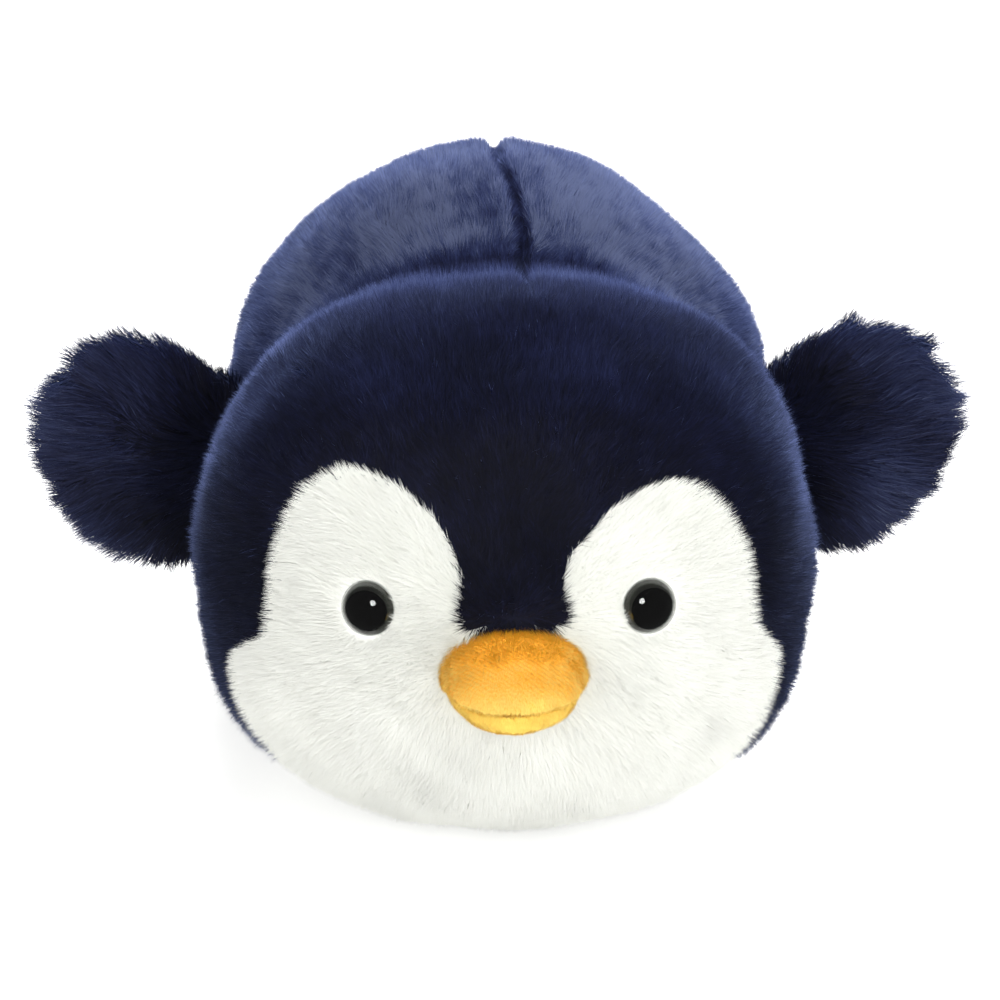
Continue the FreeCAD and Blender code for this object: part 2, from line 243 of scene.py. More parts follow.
@dataclass(frozen=True)
class LooseFibre:
    """Loose polyester fibre: cloudy white wadding with a soft, uneven surface."""

    name: str = "polyester_fibre"

    def material(self) -> bpy.types.Material:
        """Makes the wadding.

        Returns:
            A matt white with a cloudy bump.
        """
        material, tree, shader = new_material(self.name)
        place = add_node(tree, "ShaderNodeTexCoord")
        cloud = add_node(tree, "ShaderNodeTexNoise",
                         inputs={"Scale": 1 / (8 * MM), "Detail": 8.0, "Roughness": 0.7},
                         links={"Vector": place.outputs["Object"]})
        ramp = add_node(tree, "ShaderNodeValToRGB", links={"Fac": cloud.outputs["Fac"]})
        ramp.color_ramp.elements[0].color = linear("#c9cac8")
        ramp.color_ramp.elements[1].color = linear("#f6f6f3")
        bump = add_node(tree, "ShaderNodeBump", inputs={"Strength": 0.8, "Distance": 2 * MM},
                        links={"Height": cloud.outputs["Fac"]})
        tree.links.new(ramp.outputs["Color"], shader.inputs["Base Color"])
        tree.links.new(bump.outputs["Normal"], shader.inputs["Normal"])
        shader.inputs["Roughness"].default_value = 1.0
        return material


# The six shades run from painted shade to painted light: the lighter, greyer ones go where the pile faces up
# and over the trunk, the darker ones on the front of the head.
NAVY_PILE = PileFinish(
    "navy_plush_pile",
    roots=("#090a14", "#0b0c1b", "#0d0f22", "#111430", "#181c3c", "#20264a"),
    tips=("#0a0b1a", "#0f1128", "#171b38", "#232a4c", "#353d5e", "#505876"),
    sheen=0.66,
    sheen_colour="#8496d4",
)
WHITE_PILE = PileFinish(
    "white_plush_pile",
    roots=("#e4e5de", "#eaebe4", "#f0f1ea", "#f2f3ec"),
    tips=("#eff0ea", "#f4f5ee", "#f8f9f3", "#fbfcf7"),
    sheen=0.10,
    sheen_colour="#ffffff",
)
ORANGE_PILE = PileFinish(
    "orange_velboa_pile",
    roots=("#ffca50", "#ffd058", "#ffd45e"),
    tips=("#ffd464", "#ffdc70", "#ffe67e"),
    sheen=0.15,
    sheen_colour="#ffe2a8",
)
PALE_ORANGE_PILE = PileFinish(
    "pale_orange_velboa_pile",
    roots=("#fccc58", "#fdd25e", "#fed864"),
    tips=("#ffd85e", "#ffde68", "#ffe474"),
    sheen=0.15,
    sheen_colour="#fff0c8",
)
NAVY_KNIT = KnitBacking("navy_knit_backing", "#0b0d1e", "#12152e")
WHITE_KNIT = KnitBacking("white_knit_backing", "#e6e7e0", "#f2f3ed")
ORANGE_KNIT = KnitBacking("orange_knit_backing", "#fcb83a", "#ffc446")
PALE_ORANGE_KNIT = KnitBacking("pale_orange_knit_backing", "#fac450", "#fed05c")
POUCH_CLOTH = KnitBacking("pouch_nonwoven_cloth", "#b9b9b2", "#d8d8d0", wale=0.6 * MM)
RIBBON = KnitBacking("satin_ribbon", "#e6e6e0", "#f4f4ef", wale=0.35 * MM)
THREAD = KnitBacking("polyester_thread", "#0c0e22", "#1a1e40", wale=0.3 * MM)
EYE_BLACK = MouldedPlastic("eye_black_abs", "#0b0b0d", "#060607", roughness=0.12)
EYE_PUPIL = MouldedPlastic("eye_pupil_enamel", "#060607", "#040405", roughness=0.5, gloss=0.0)
EYE_IRIS = MouldedPlastic("eye_iris_enamel", "#55564f", "#42433d", roughness=0.5, gloss=0.0)
WASHER_NYLON = MouldedPlastic("washer_nylon", "#dedcd4", "#cfccc2", roughness=0.5)
PELLET_PLASTIC = MouldedPlastic("pellet_polyethylene", "#e4e8e8", "#ccd2d4", roughness=0.4)


# ------------------------------------------------------------------ mesh helpers
def mesh_object(name: str, vertices: np.ndarray, faces: list | np.ndarray,
                materials: list[bpy.types.Material], closed: bool = True) -> bpy.types.Object:
    """Makes a mesh object from arrays.

    Args:
        name: Name of the piece.
        vertices: Points, one row each.
        faces: Vertex numbers of each face.
        materials: Materials for the slots.
        closed: Whether it is a closed form, whose faces are turned outwards.

    Returns:
        The object, linked to the scene and shaded smooth.
    """
    mesh = bpy.data.meshes.new(name)
    mesh.from_pydata(np.asarray(vertices).tolist(), [], [list(map(int, f)) for f in faces])
    if closed:
        build = bmesh.new()
        build.from_mesh(mesh)
        bmesh.ops.recalc_face_normals(build, faces=build.faces)
        build.to_mesh(mesh)
        build.free()
    mesh.update()
    for material in materials:
        mesh.materials.append(material)
    mesh.polygons.foreach_set("use_smooth", np.ones(len(mesh.polygons), bool))
    obj = bpy.data.objects.new(name, mesh)
    bpy.context.scene.collection.objects.link(obj)
    return obj


def points_of(obj: bpy.types.Object) -> np.ndarray:
    """Returns the vertex positions of a mesh object, one row each."""
    flat = np.empty(len(obj.data.vertices) * 3, np.float32)
    obj.data.vertices.foreach_get("co", flat)
    return flat.reshape(-1, 3).astype(float)


def set_points(obj: bpy.types.Object, points: np.ndarray) -> None:
    """Moves the vertices of a mesh object to new positions."""
    obj.data.vertices.foreach_set("co", points.astype(np.float32).ravel())
    obj.data.update()


def normals_of(obj: bpy.types.Object) -> np.ndarray:
    """Returns the vertex normals of a mesh object, one row each."""
    flat = np.empty(len(obj.data.vertices) * 3, np.float32)
    obj.data.vertex_normals.foreach_get("vector", flat)
    return flat.reshape(-1, 3).astype(float)


def unit(vectors: np.ndarray) -> np.ndarray:
    """Returns vectors scaled to length 1, one row each."""
    return vectors / np.maximum(np.linalg.norm(vectors, axis=-1, keepdims=True), 1e-9)


def apply_modifiers(obj: bpy.types.Object) -> None:
    """Replaces an object's mesh by its evaluated mesh and drops the modifiers."""
    graph = bpy.context.evaluated_depsgraph_get()
    result = bpy.data.meshes.new_from_object(obj.evaluated_get(graph))
    old = obj.data
    obj.modifiers.clear()
    obj.data = result
    bpy.data.meshes.remove(old)


def cut_cloth(name: str, points: np.ndarray, faces: list[list[int]], knit: KnitBacking,
              thickness: float) -> bpy.types.Object:
    """Makes one cut piece of cloth from some faces of a skin.

    Args:
        name: Name of the piece.
        points: All points of the skin.
        faces: The faces that the piece keeps.
        knit: Finish of the cloth.
        thickness: How thick the cloth is, measured inwards.

    Returns:
        The piece.
    """
    used = sorted({v for face in faces for v in face})
    renumber = {v: i for i, v in enumerate(used)}
    kept = [[renumber[v] for v in face] for face in faces]
    piece = mesh_object(name, points[used], kept, [knit.material()])
    thick = piece.modifiers.new("cloth_thickness", "SOLIDIFY")
    thick.thickness = thickness
    thick.offset = -1.0
    apply_modifiers(piece)
    return piece


def closed_tube(rings: int, spokes: int) -> list[tuple[int, ...]]:
    """Gives the faces of rings of points with a pole beyond each end, the two poles last."""
    faces: list[tuple[int, ...]] = []
    for ring in range(rings - 1):
        for spoke in range(spokes):
            after = (spoke + 1) % spokes
            low, high = ring * spokes, (ring + 1) * spokes
            faces.append((low + spoke, high + spoke, high + after, low + after))
    pole, last = rings * spokes, (rings - 1) * spokes
    for spoke in range(spokes):
        after = (spoke + 1) % spokes
        faces.append((pole, spoke, after))
        faces.append((pole + 1, last + after, last + spoke))
    return faces


def smooth_step(value: np.ndarray, low: float, high: float) -> np.ndarray:
    """Returns 0 below low, 1 above high and a smooth rise between."""
    share = np.clip((value - low) / (high - low), 0.0, 1.0)
    return share * share * (3.0 - 2.0 * share)


def wobble(points: np.ndarray, size: float, seed: int) -> np.ndarray:
    """Gives a smooth random vector at each point, as uneven stuffing or brushing does.

    Args:
        points: Places, one row each.
        size: Rough size of one patch.
        seed: Seed of the pattern.

    Returns:
        One vector a row, each part within about -1 to 1.
    """
    rng = np.random.default_rng(seed)
    total = np.zeros_like(points)
    waves = 7
    for _ in range(waves):
        direction = unit(rng.normal(size=(1, 3)))[0]
        phase = rng.uniform(0, 2 * math.pi, 3)
        pitch = 2 * math.pi / (size * rng.uniform(0.7, 1.6))
        along = points @ direction * pitch
        total += np.sin(along[:, None] + phase)
    return total / math.sqrt(waves)


def inflate(obj: bpy.types.Object, cap: float, pressure: float = 4.0, frames: int = 20) -> None:
    """Swells a closed cloth form with inner pressure, as stuffing does, and keeps the result.

    Args:
        obj: Closed mesh object.
        cap: Furthest that a point may move.
        pressure: Pressure of the stuffing.
        frames: Simulated frames.
    """
    start = points_of(obj)
    cloth = obj.modifiers.new("stuffing", "CLOTH")
    cloth.settings.quality = 6
    cloth.settings.mass = 0.15
    cloth.settings.tension_stiffness = 12
    cloth.settings.compression_stiffness = 12
    cloth.settings.shear_stiffness = 5
    cloth.settings.bending_stiffness = 0.3
    cloth.settings.use_pressure = True
    cloth.settings.uniform_pressure_force = pressure
    cloth.settings.effector_weights.gravity = 0.0
    cloth.collision_settings.use_collision = False
    cloth.point_cache.frame_start = 1
    cloth.point_cache.frame_end = frames
    for number in range(1, frames + 1):
        bpy.context.scene.frame_set(number)
    graph = bpy.context.evaluated_depsgraph_get()
    end = points_of(obj.evaluated_get(graph))
    obj.modifiers.clear()
    bpy.context.scene.frame_set(1)
    moved = end - start
    far = np.linalg.norm(moved, axis=1, keepdims=True)
    set_points(obj, start + moved * np.minimum(1.0, cap / np.maximum(far, 1e-9)))


def sample(obj: bpy.types.Object, density: float, rng: np.random.Generator) -> tuple[np.ndarray, np.ndarray]:
    """Scatters points evenly over a mesh.

    Args:
        obj: Mesh object.
        density: Points in a square metre.
        rng: Source of random numbers.

    Returns:
        The points and the surface's smooth normals there.
    """
    mesh = obj.data
    mesh.calc_loop_triangles()
    corners = np.empty(len(mesh.loop_triangles) * 3, np.int32)
    mesh.loop_triangles.foreach_get("vertices", corners)
    corners = corners.reshape(-1, 3)
    points, normals = points_of(obj), normals_of(obj)
    a, b, c = (points[corners[:, i]] for i in range(3))
    areas = np.linalg.norm(np.cross(b - a, c - a), axis=1) / 2
    count = int(areas.sum() * density)
    edges = np.cumsum(areas) / areas.sum()
    picks = np.searchsorted(edges, (np.arange(count) + rng.random(count)) / count)
    picks = np.minimum(picks, len(areas) - 1)
    u, v = rng.random(count), rng.random(count)
    flip = u + v > 1
    u[flip], v[flip] = 1 - u[flip], 1 - v[flip]
    weights = np.stack([1 - u - v, u, v], axis=1)[:, :, None]
    where = (points[corners[picks]] * weights).sum(axis=1)
    out = unit((normals[corners[picks]] * weights).sum(axis=1))
    return where, out


# ------------------------------------------------------------------ pile
class Cut(Enum):
    """How the fibres of a pile are drawn: the value is the number of points along one blade."""

    STRAIGHT = 3
    CURVED = 5


@dataclass(frozen=True)
class Pile:
    """How a pile fabric grows: a blade stands for a few fibres, as single ones are too fine to show."""

    length: float
    width: float
    density: float
    cut: Cut = Cut.STRAIGHT
    lean: float = 50.0
    lean_spread: float = 8.0
    stray: float = 0.20
    bundle: float = 2.2 * MM
    pull: float = 0.20
    uneven: float = 0.15
    patch: float = 20 * MM
    swirl: float = 0.35
    softness: float = 0.82

    def grow(self, name: str, roots: np.ndarray, normals: np.ndarray, flow: np.ndarray,
             scale: np.ndarray, finish: PileFinish, seed: int,
             shine: np.ndarray | None = None) -> bpy.types.Object:
        """Grows one blade from every root.

        Args:
            name: Name of the piece.
            roots: Root points on the backing, one row each.
            normals: Outward directions at the roots.
            flow: Directions in which the pile is brushed.
            scale: Length of each blade as a share of the pile's length.
            finish: Shades of the fibre.
            seed: Seed of the random draws.
            shine: Lightness of each blade from 0 to 1, where it isn't left to chance: painted light and shade
                on the body and the flippers, ribs on the beak.

        Returns:
            The pile as one mesh object.
        """
        rng = np.random.default_rng(seed)
        count = len(roots)
        brushed = wobble(roots, self.patch, seed=5)
        fine = wobble(roots, self.patch / 4, seed=6)
        flow = flow + self.swirl * (brushed + 0.5 * fine)
        flow = unit(flow - normals * (flow * normals).sum(axis=1, keepdims=True))
        lean = self.lean * (1 + 0.16 * brushed[:, 0] + 0.10 * fine[:, 0])
        lean = np.radians(np.clip(lean + rng.normal(0, self.lean_spread, count), 4, 84))[:, None]
        stray = rng.normal(0, self.stray, (count, 3))
        long = (self.length * scale * (1 + self.uneven * rng.normal(0, 1, count)))[:, None]
        curved = self.cut is Cut.CURVED
        start_share = 0.6 if curved else 1
        low = unit(normals * np.cos(lean * start_share) + flow * np.sin(lean * start_share)
                   + stray * start_share)
        high = unit(normals * np.cos(lean * 1.3) + flow * np.sin(lean * 1.3) + stray)
        start = roots - normals * 0.3 * MM
        middle = start + low * long * 0.5
        tip = middle + (high if curved else low) * long * 0.5
        drawn = self._gather(roots, tip, rng)
        tip = tip + drawn
        middle = middle + drawn * 0.35
        side = unit(np.cross(normals, flow))
        twist = np.radians(rng.normal(0, 32, count))[:, None]
        across = unit(side * np.cos(twist) + normals * np.sin(twist))
        half = (self.width / 2 * (1 + 0.25 * rng.normal(0, 1, count)))[:, None]
        if curved:
            rows = [start - across * half, start + across * half, middle - across * half * 0.85,
                    middle + across * half * 0.85, tip]
        else:
            rows = [start - across * half, start + across * half, tip]
        rows = np.stack(rows, axis=1)
        rows[:, :, 2] = np.maximum(rows[:, :, 2], 0.3 * MM)
        facing = unit(np.cross(rows[:, 1] - rows[:, 0], rows[:, -1] - rows[:, 0]))
        away = (facing * normals).sum(axis=1) < 0
        rows[away] = rows[away][:, [1, 0, 3, 2, 4] if curved else [1, 0, 2]]
        facing[away] *= -1
        shaded = unit(normals * self.softness + facing * (1 - self.softness)
                      + rng.normal(0, 0.10, (count, 3)))
        if shine is None:
            shine = 0.5 + 0.16 * brushed[:, 1] + 0.12 * fine[:, 1] + rng.normal(0, 0.20, count)
        shades = len(finish.tips)
        shade = np.clip((shine * shades).astype(int), 0, shades - 1)
        return self._mesh(name, rows, shaded, shade, finish)

    def _gather(self, roots: np.ndarray, tips: np.ndarray, rng: np.random.Generator) -> np.ndarray:
        """Works out how far each tip is drawn to the tip in the middle of its bundle.

        Args:
            roots: Root points.
            tips: Tip points before they are drawn together.
            rng: Source of random numbers.

        Returns:
            The move of each tip.
        """
        count = len(roots)
        share = max(1.0, self.density * self.bundle ** 2)
        middles = rng.choice(count, max(1, int(count / share)), replace=False)
        tree = kdtree.KDTree(len(middles))
        for number, which in enumerate(middles):
            tree.insert(roots[which], number)
        tree.balance()
        nearest = middles[np.fromiter((tree.find(p)[1] for p in roots.tolist()), int, count)]
        return (tips[nearest] - tips) * self.pull * rng.uniform(0.2, 1.0, (count, 1))

    @staticmethod
    def _mesh(name: str, rows: np.ndarray, shaded: np.ndarray, shade: np.ndarray,
              finish: PileFinish) -> bpy.types.Object:
        """Turns blades into one mesh, lit as the soft mass that they make together.

        Args:
            name: Name of the piece.
            rows: Three or five points for each blade.
            shaded: Direction that the light takes each blade to face.
            shade: Number of each blade's shade.
            finish: Shades of the fibre.

        Returns:
            The mesh object.
        """
        count, points = rows.shape[:2]
        mesh = bpy.data.meshes.new(name)
        mesh.vertices.add(count * points)
        mesh.vertices.foreach_set("co", rows.reshape(-1).astype(np.float32))
        curved = points == Cut.CURVED.value
        pattern = np.array([0, 1, 3, 2, 2, 3, 4] if curved else [0, 1, 2])
        first = np.array([0, 4] if curved else [0])
        loops = (np.arange(count)[:, None] * points + pattern).astype(np.int32)
        mesh.loops.add(loops.size)
        mesh.loops.foreach_set("vertex_index", loops.ravel())
        starts = (np.arange(count)[:, None] * len(pattern) + first).astype(np.int32)
        mesh.polygons.add(starts.size)
        mesh.polygons.foreach_set("loop_start", starts.ravel())
        for material in finish.materials():
            mesh.materials.append(material)
        slots = shade[:, None] * 2 + (np.array([0, 1]) if curved else np.array([1]))
        mesh.polygons.foreach_set("material_index", slots.astype(np.int32).ravel())
        mesh.polygons.foreach_set("use_smooth", np.ones(starts.size, bool))
        mesh.update(calc_edges=True)
        lit = mesh.attributes.new("custom_normal", "FLOAT_VECTOR", "POINT")
        lit.data.foreach_set("vector", np.repeat(shaded, points, axis=0).astype(np.float32).ravel())
        mesh.update()
        obj = bpy.data.objects.new(name, mesh)
        bpy.context.scene.collection.objects.link(obj)
        return obj


QUICK_WIDTH = 1.0
WHITE_BODY_PILE = Pile(
    length=4.6 * MM, width=0.25 * MM * QUICK_WIDTH, density=8.0e6 * DETAIL, lean=36.0, stray=0.13, pull=0.08,
    uneven=0.07, swirl=0.25, softness=0.92,
)
NAVY_BODY_PILE = Pile(length=5.2 * MM, width=0.25 * MM * QUICK_WIDTH, density=8.0e6 * DETAIL, lean=40.0)
FLIPPER_PILE = Pile(
    length=15.0 * MM, width=0.28 * MM * QUICK_WIDTH, density=8.5e6 * DETAIL, cut=Cut.CURVED, lean=54.0,
    stray=0.13, bundle=3.2 * MM, pull=0.52, uneven=0.12, softness=0.65,
)
TAIL_PILE = Pile(length=6.0 * MM, width=0.28 * MM * QUICK_WIDTH, density=7.0e6 * DETAIL, lean=52.0)
VELBOA = Pile(
    length=1.3 * MM, width=0.19 * MM * QUICK_WIDTH, density=34.0e6 * DETAIL, lean=36.0, stray=0.10,
    bundle=0.8 * MM, pull=0.0, patch=6 * MM, swirl=0.10, softness=0.88,
)


# ------------------------------------------------------------------ body
class Panel(Enum):
    """The sewn panels of the bolster."""

    FACE = "face_panel"
    HOOD = "hood_panel"
    BACK_LEFT = "back_panel_left"
    BACK_RIGHT = "back_panel_right"
    BELLY = "belly_panel"


@dataclass(frozen=True)
class Bulge:
    """One swelling of the bolster, round the long axis: a superellipsoid with its own front and rear."""

    mid_x: float
    mid_y: float
    half_width: float
    top: float
    bottom: float
    front: float
    rear: float
    squareness: float
    bluntness: float

    def radius(self, y: np.ndarray, cos: np.ndarray, sin: np.ndarray) -> np.ndarray:
        """Gives the distance from the axis to the surface.

        Args:
            y: Places along the axis.
            cos: Sideways part of the direction from the axis.
            sin: Upward part of the direction from the axis.

        Returns:
            The distance, 0 beyond the ends.
        """
        reach = np.where(y < self.mid_y, self.front, self.rear)
        along = np.clip(1 - np.abs((y - self.mid_y) / reach) ** self.bluntness, 0, 1) ** (1 / self.bluntness)
        high = np.where(sin > 0, self.top, self.bottom)
        ring = np.abs(cos / self.half_width) ** self.squareness + np.abs(sin / high) ** self.squareness
        return along * ring ** (-1 / self.squareness)


@dataclass
class Bolster:
    """The stuffed body: head and trunk in one bolster, its sewn panels, pile, filling and seams.

    The neck fold lies ahead of the seam that the flippers are sewn into, and the face is sewn a
    little unevenly, so two sizes are given as the penguin's left and right.
    """

    axis_z: float = 70 * MM
    pile_height: float = 3.4 * MM
    rings: int = 120
    spokes: int = 160
    crowding: float = 0.30
    neck_blend: float = 16.0
    seam_depth: float = 3.0 * MM
    seam_reach: float = 1.5 * MM
    neck_ahead: float = 9.0 * MM
    beak_overlap: float = 2.0 * MM
    white_lift: float = 0.3
    lobe_drop: tuple[float, float] = (5.5 * MM, 1.7 * MM)
    cheek_tuck: tuple[float, float] = (4.0 * MM, 0.8 * MM)
    head: Bulge = field(init=False)
    trunk: Bulge = field(init=False)
    nose_y: float = field(init=False)
    rump_y: float = field(init=False)
    neck_y: float = field(init=False)
    flipper_y: float = field(init=False)
    skin: bpy.types.Object = field(init=False)

    def __post_init__(self) -> None:
        """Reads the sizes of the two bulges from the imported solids."""
        face_low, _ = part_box("face_panel")
        _, hood_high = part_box("hood_panel")
        back_low, back_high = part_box("back_panel_left")
        self.nose_y = face_low.y + 1.0 * MM
        self.rump_y = back_high.y + 0.8 * MM
        self.flipper_y = back_low.y
        self.neck_y = self.flipper_y - self.neck_ahead
        self.head = Bulge(
            mid_x=-1.0 * MM,
            mid_y=self.nose_y + 77.6 * MM,
            half_width=hood_high.x + 0.8 * MM,
            top=78.4 * MM,
            bottom=self.axis_z + 0.5 * MM,
            front=77.6 * MM,
            rear=81.0 * MM,
            squareness=2.37,
            bluntness=2.1,
        )
        self.trunk = Bulge(
            mid_x=-2.4 * MM,
            mid_y=self.rump_y - 85.0 * MM,
            half_width=back_high.x + 0.4 * MM,
            top=back_high.z - self.axis_z - 0.2 * MM,
            bottom=self.axis_z + 3.0 * MM,
            front=84.0 * MM,
            rear=85.0 * MM,
            squareness=1.97,
            bluntness=2.2,
        )

    def outline(self, y: np.ndarray, angle: np.ndarray) -> np.ndarray:
        """Gives points on the outside of the pile.

        Args:
            y: Places along the axis.
            angle: Angles round the axis from the left side, upwards.

        Returns:
            Points, one row each.
        """
        cos, sin = np.cos(angle), np.sin(angle)
        parts = [b.radius(y, cos, sin) for b in (self.head, self.trunk)]
        blend = self.neck_blend
        radius = (parts[0] ** blend + parts[1] ** blend) ** (1 / blend)
        share = smooth_step(y, self.neck_y - 20 * MM, self.neck_y + 20 * MM)
        shift = self.head.mid_x * (1 - share) + self.trunk.mid_x * share
        return np.stack([radius * cos + shift, y, self.axis_z + radius * sin], axis=-1)

    def back_seam_x(self, y: np.ndarray) -> np.ndarray:
        """Gives the sideways place of the seam down the back, which wanders off the middle at the neck."""
        aside = 6.5 * MM * (1 - smooth_step(y, self.neck_y + 4 * MM, self.neck_y + 62 * MM))
        return self.trunk.mid_x * 0.5 + aside + 0.7 * MM * np.sin(y / (7 * MM))

    def seam_distance(self, points: np.ndarray) -> np.ndarray:
        """Measures how far points are from the nearest sunken seam.

        Args:
            points: Places on the outside, one row each.

        Returns:
            Distances.
        """
        x, y, z = points.T
        off = np.abs(x - self.back_seam_x(y))
        back = np.where((y > self.neck_y) & (z > self.axis_z * 0.45), off, 1.0)
        on_dart = (y > self.head.mid_y - 2 * MM) & (y < self.neck_y) & (z > self.axis_z)
        dart = np.where(on_dart, off + 0.6 * MM, 1.0)
        neck = np.where(z > self.axis_z * 0.5, np.abs(y - self.neck_y) + 0.8 * MM, 1.0)
        return np.minimum(np.minimum(back, dart), neck)

    def build_skin(self) -> None:
        """Makes the closed backing of the whole bolster, stuffed, with its seams drawn in."""
        turn = np.linspace(0, math.pi, self.rings + 2)[1:-1]
        middle, reach = (self.nose_y + self.rump_y) / 2, (self.rump_y - self.nose_y) / 2
        y = middle - reach * np.cos(turn)
        angle = np.linspace(0, 2 * math.pi, self.spokes, endpoint=False)
        angle += self.crowding * np.sin(2 * angle)
        grid_y, grid_angle = np.meshgrid(y, angle, indexing="ij")
        shell = self.outline(grid_y.ravel(), grid_angle.ravel())
        ends = np.array([[0, self.nose_y, self.axis_z], [0, self.rump_y, self.axis_z]])
        vertices = np.vstack([shell, ends])
        self.skin = mesh_object("bolster_skin", vertices, closed_tube(self.rings, self.spokes), [])
        lumps = (wobble(vertices, 70 * MM, 11)[:, :1] * 1.3 * MM
                 + wobble(vertices, 30 * MM, 12)[:, :1] * 0.5 * MM)
        inward = normals_of(self.skin)
        set_points(self.skin, vertices - inward * (self.pile_height + 0.2 * MM) + inward * lumps)
        inflate(self.skin, cap=2.0 * MM)
        points, out = points_of(self.skin), normals_of(self.skin)
        near = self.seam_distance(points + out * self.pile_height)
        points -= out * (self.seam_depth * np.exp(-(near / self.seam_reach) ** 2))[:, None]
        points[:, 2] = np.maximum(points[:, 2], 2.2 * MM)
        set_points(self.skin, points)
        log.info("bolster skin: %d points", len(points))

    def is_white(self, points: np.ndarray) -> np.ndarray:
        """Tells which places on the outside are white plush.

        Args:
            points: Places, one row each.

        Returns:
            True where the plush is white.
        """
        x, y, z = np.abs(points[:, 0]), points[:, 1], points[:, 2]
        left = points[:, 0] > 0
        z = z + np.where(left, *self.lobe_drop) * smooth_step(z, 84 * MM, 112 * MM)
        x = x + np.where(left, *self.cheek_tuck) * (1 - smooth_step(z, 58 * MM, 74 * MM))
        outline = self.face_outline()
        inside = np.zeros(len(x), bool)
        previous = np.roll(outline, 1, axis=0)
        for (x0, z0), (x1, z1) in zip(previous, outline):
            crosses = (z0 > z) != (z1 > z)
            if z0 != z1:
                inside ^= crosses & (x < (x1 - x0) * (z - z0) / (z1 - z0) + x0)
        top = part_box("belly_panel")[1].z - 5 * MM * (1 - smooth_step(y, self.neck_y - 30 * MM, self.neck_y))
        belly = z < top + 1.2 * MM * np.sin(y / (14 * MM))
        return (inside & (y < self.head.mid_y)) | belly

    @staticmethod
    def face_outline() -> np.ndarray:
        """Gives the left half of the white face seen from the front, as x and z.

        Returns:
            A closed outline of a smooth curve through the turning points of the seam.
        """
        turning = np.array([
            (0, 84), (12.5, 86), (12.6, 97), (14.5, 106), (20, 114), (29, 120), (40, 122.5),
            (50.5, 118.5), (57, 110), (60.5, 101), (62.5, 91), (63.5, 81), (65.5, 73), (70.5, 67.5),
            (75, 62.5), (76, 56), (74.5, 48), (71, 40), (65, 31), (59, 20), (57, 0), (0, -20),
        ]) * MM
        smooth = []
        for i in range(1, len(turning) - 2):
            p0, p1, p2, p3 = turning[i - 1], turning[i], turning[i + 1], turning[i + 2]
            for share in np.linspace(0, 1, 6, endpoint=False):
                a = 2 * p1 + (p2 - p0) * share
                b = (2 * p0 - 5 * p1 + 4 * p2 - p3) * share ** 2
                c = (3 * p1 - p0 - 3 * p2 + p3) * share ** 3
                smooth.append((a + b + c) / 2)
        return np.array([turning[0], *smooth, turning[-2], turning[-1]])

    def panel_of(self, points: np.ndarray) -> np.ndarray:
        """Tells which panel each place on the outside belongs to.

        Args:
            points: Places, one row each.

        Returns:
            Positions in the list of panels.
        """
        order = list(Panel)
        white = self.is_white(points)
        front = points[:, 1] < self.neck_y
        left = points[:, 0] > self.back_seam_x(points[:, 1])
        which = np.where(left, order.index(Panel.BACK_LEFT), order.index(Panel.BACK_RIGHT))
        which = np.where(front, order.index(Panel.HOOD), which)
        which = np.where(white, order.index(Panel.BELLY), which)
        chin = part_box("face_panel")[1].y
        return np.where(white & (points[:, 1] < chin), order.index(Panel.FACE), which)

    def flow(self, points: np.ndarray, beak: np.ndarray) -> np.ndarray:
        """Gives the brushing direction: out from the beak on the head, back along the trunk.

        Args:
            points: Places, one row each.
            beak: Middle of the beak.

        Returns:
            One direction a row.
        """
        out = unit(points - beak)
        back = np.tile(unit(np.array([[0.0, 1.0, -0.22]])), (len(points), 1))
        share = smooth_step(points[:, 1], self.head.mid_y, self.neck_y + 20 * MM)[:, None]
        return unit(out * (1 - share) + back * share)

    def dress(self, eyes: list["SafetyEye"]) -> list[bpy.types.Object]:
        """Cuts the skin into its sewn panels and grows the pile on each.

        Args:
            eyes: The safety eyes, which the pile parts round.

        Returns:
            The pieces.
        """
        made = self._cut_panels()
        rng = np.random.default_rng(21)
        roots, normals = sample(self.skin, NAVY_BODY_PILE.density, rng)
        outside = roots + normals * self.pile_height
        which = self.panel_of(outside)
        beak_low, beak_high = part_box("beak_upper")
        beak = np.array([0.0, beak_high.y, (beak_low.z + beak_high.z) / 2])
        flow = self.flow(roots, beak)
        scale = np.ones(len(roots))
        seam = self.seam_distance(outside)
        scale *= 1 - 0.5 * np.exp(-(seam / (2.2 * MM)) ** 2)
        keep = np.ones(len(roots), bool)
        for eye in eyes:
            away, distance = eye.off_axis(roots)
            keep &= distance > eye.radius - 0.1 * MM
            near = np.exp(-((distance - eye.radius) / (3.0 * MM)) ** 2)[:, None]
            flow = unit(flow * (1 - 0.5 * near) + away * 0.5 * near)
            scale *= 1 - 0.30 * near[:, 0]
        beak_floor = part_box("beak_lower")[0].z
        middle_z, half_z = (beak_high.z + beak_floor) / 2, (beak_high.z - beak_floor) / 2
        off_beak = np.hypot(roots[:, 0] / (beak_high.x - self.beak_overlap),
                            (roots[:, 2] - middle_z) / (half_z - self.beak_overlap))
        keep &= ~((off_beak < 1) & (roots[:, 1] < self.head.mid_y))
        brow = (np.abs(roots[:, 0] - self.head.mid_x) < 12.2 * MM) & (roots[:, 2] > beak_high.z - 4 * MM)
        over = np.where(brow, np.exp(-((off_beak - 1) / 0.40) ** 2), 0.0)[:, None]
        flow = unit(flow * (1 - over) + np.array([0.0, -0.5, -1.0]) * over)
        under = outside[:, 2] < 10 * MM
        keep &= ~(under & (rng.random(len(roots)) < 0.35))
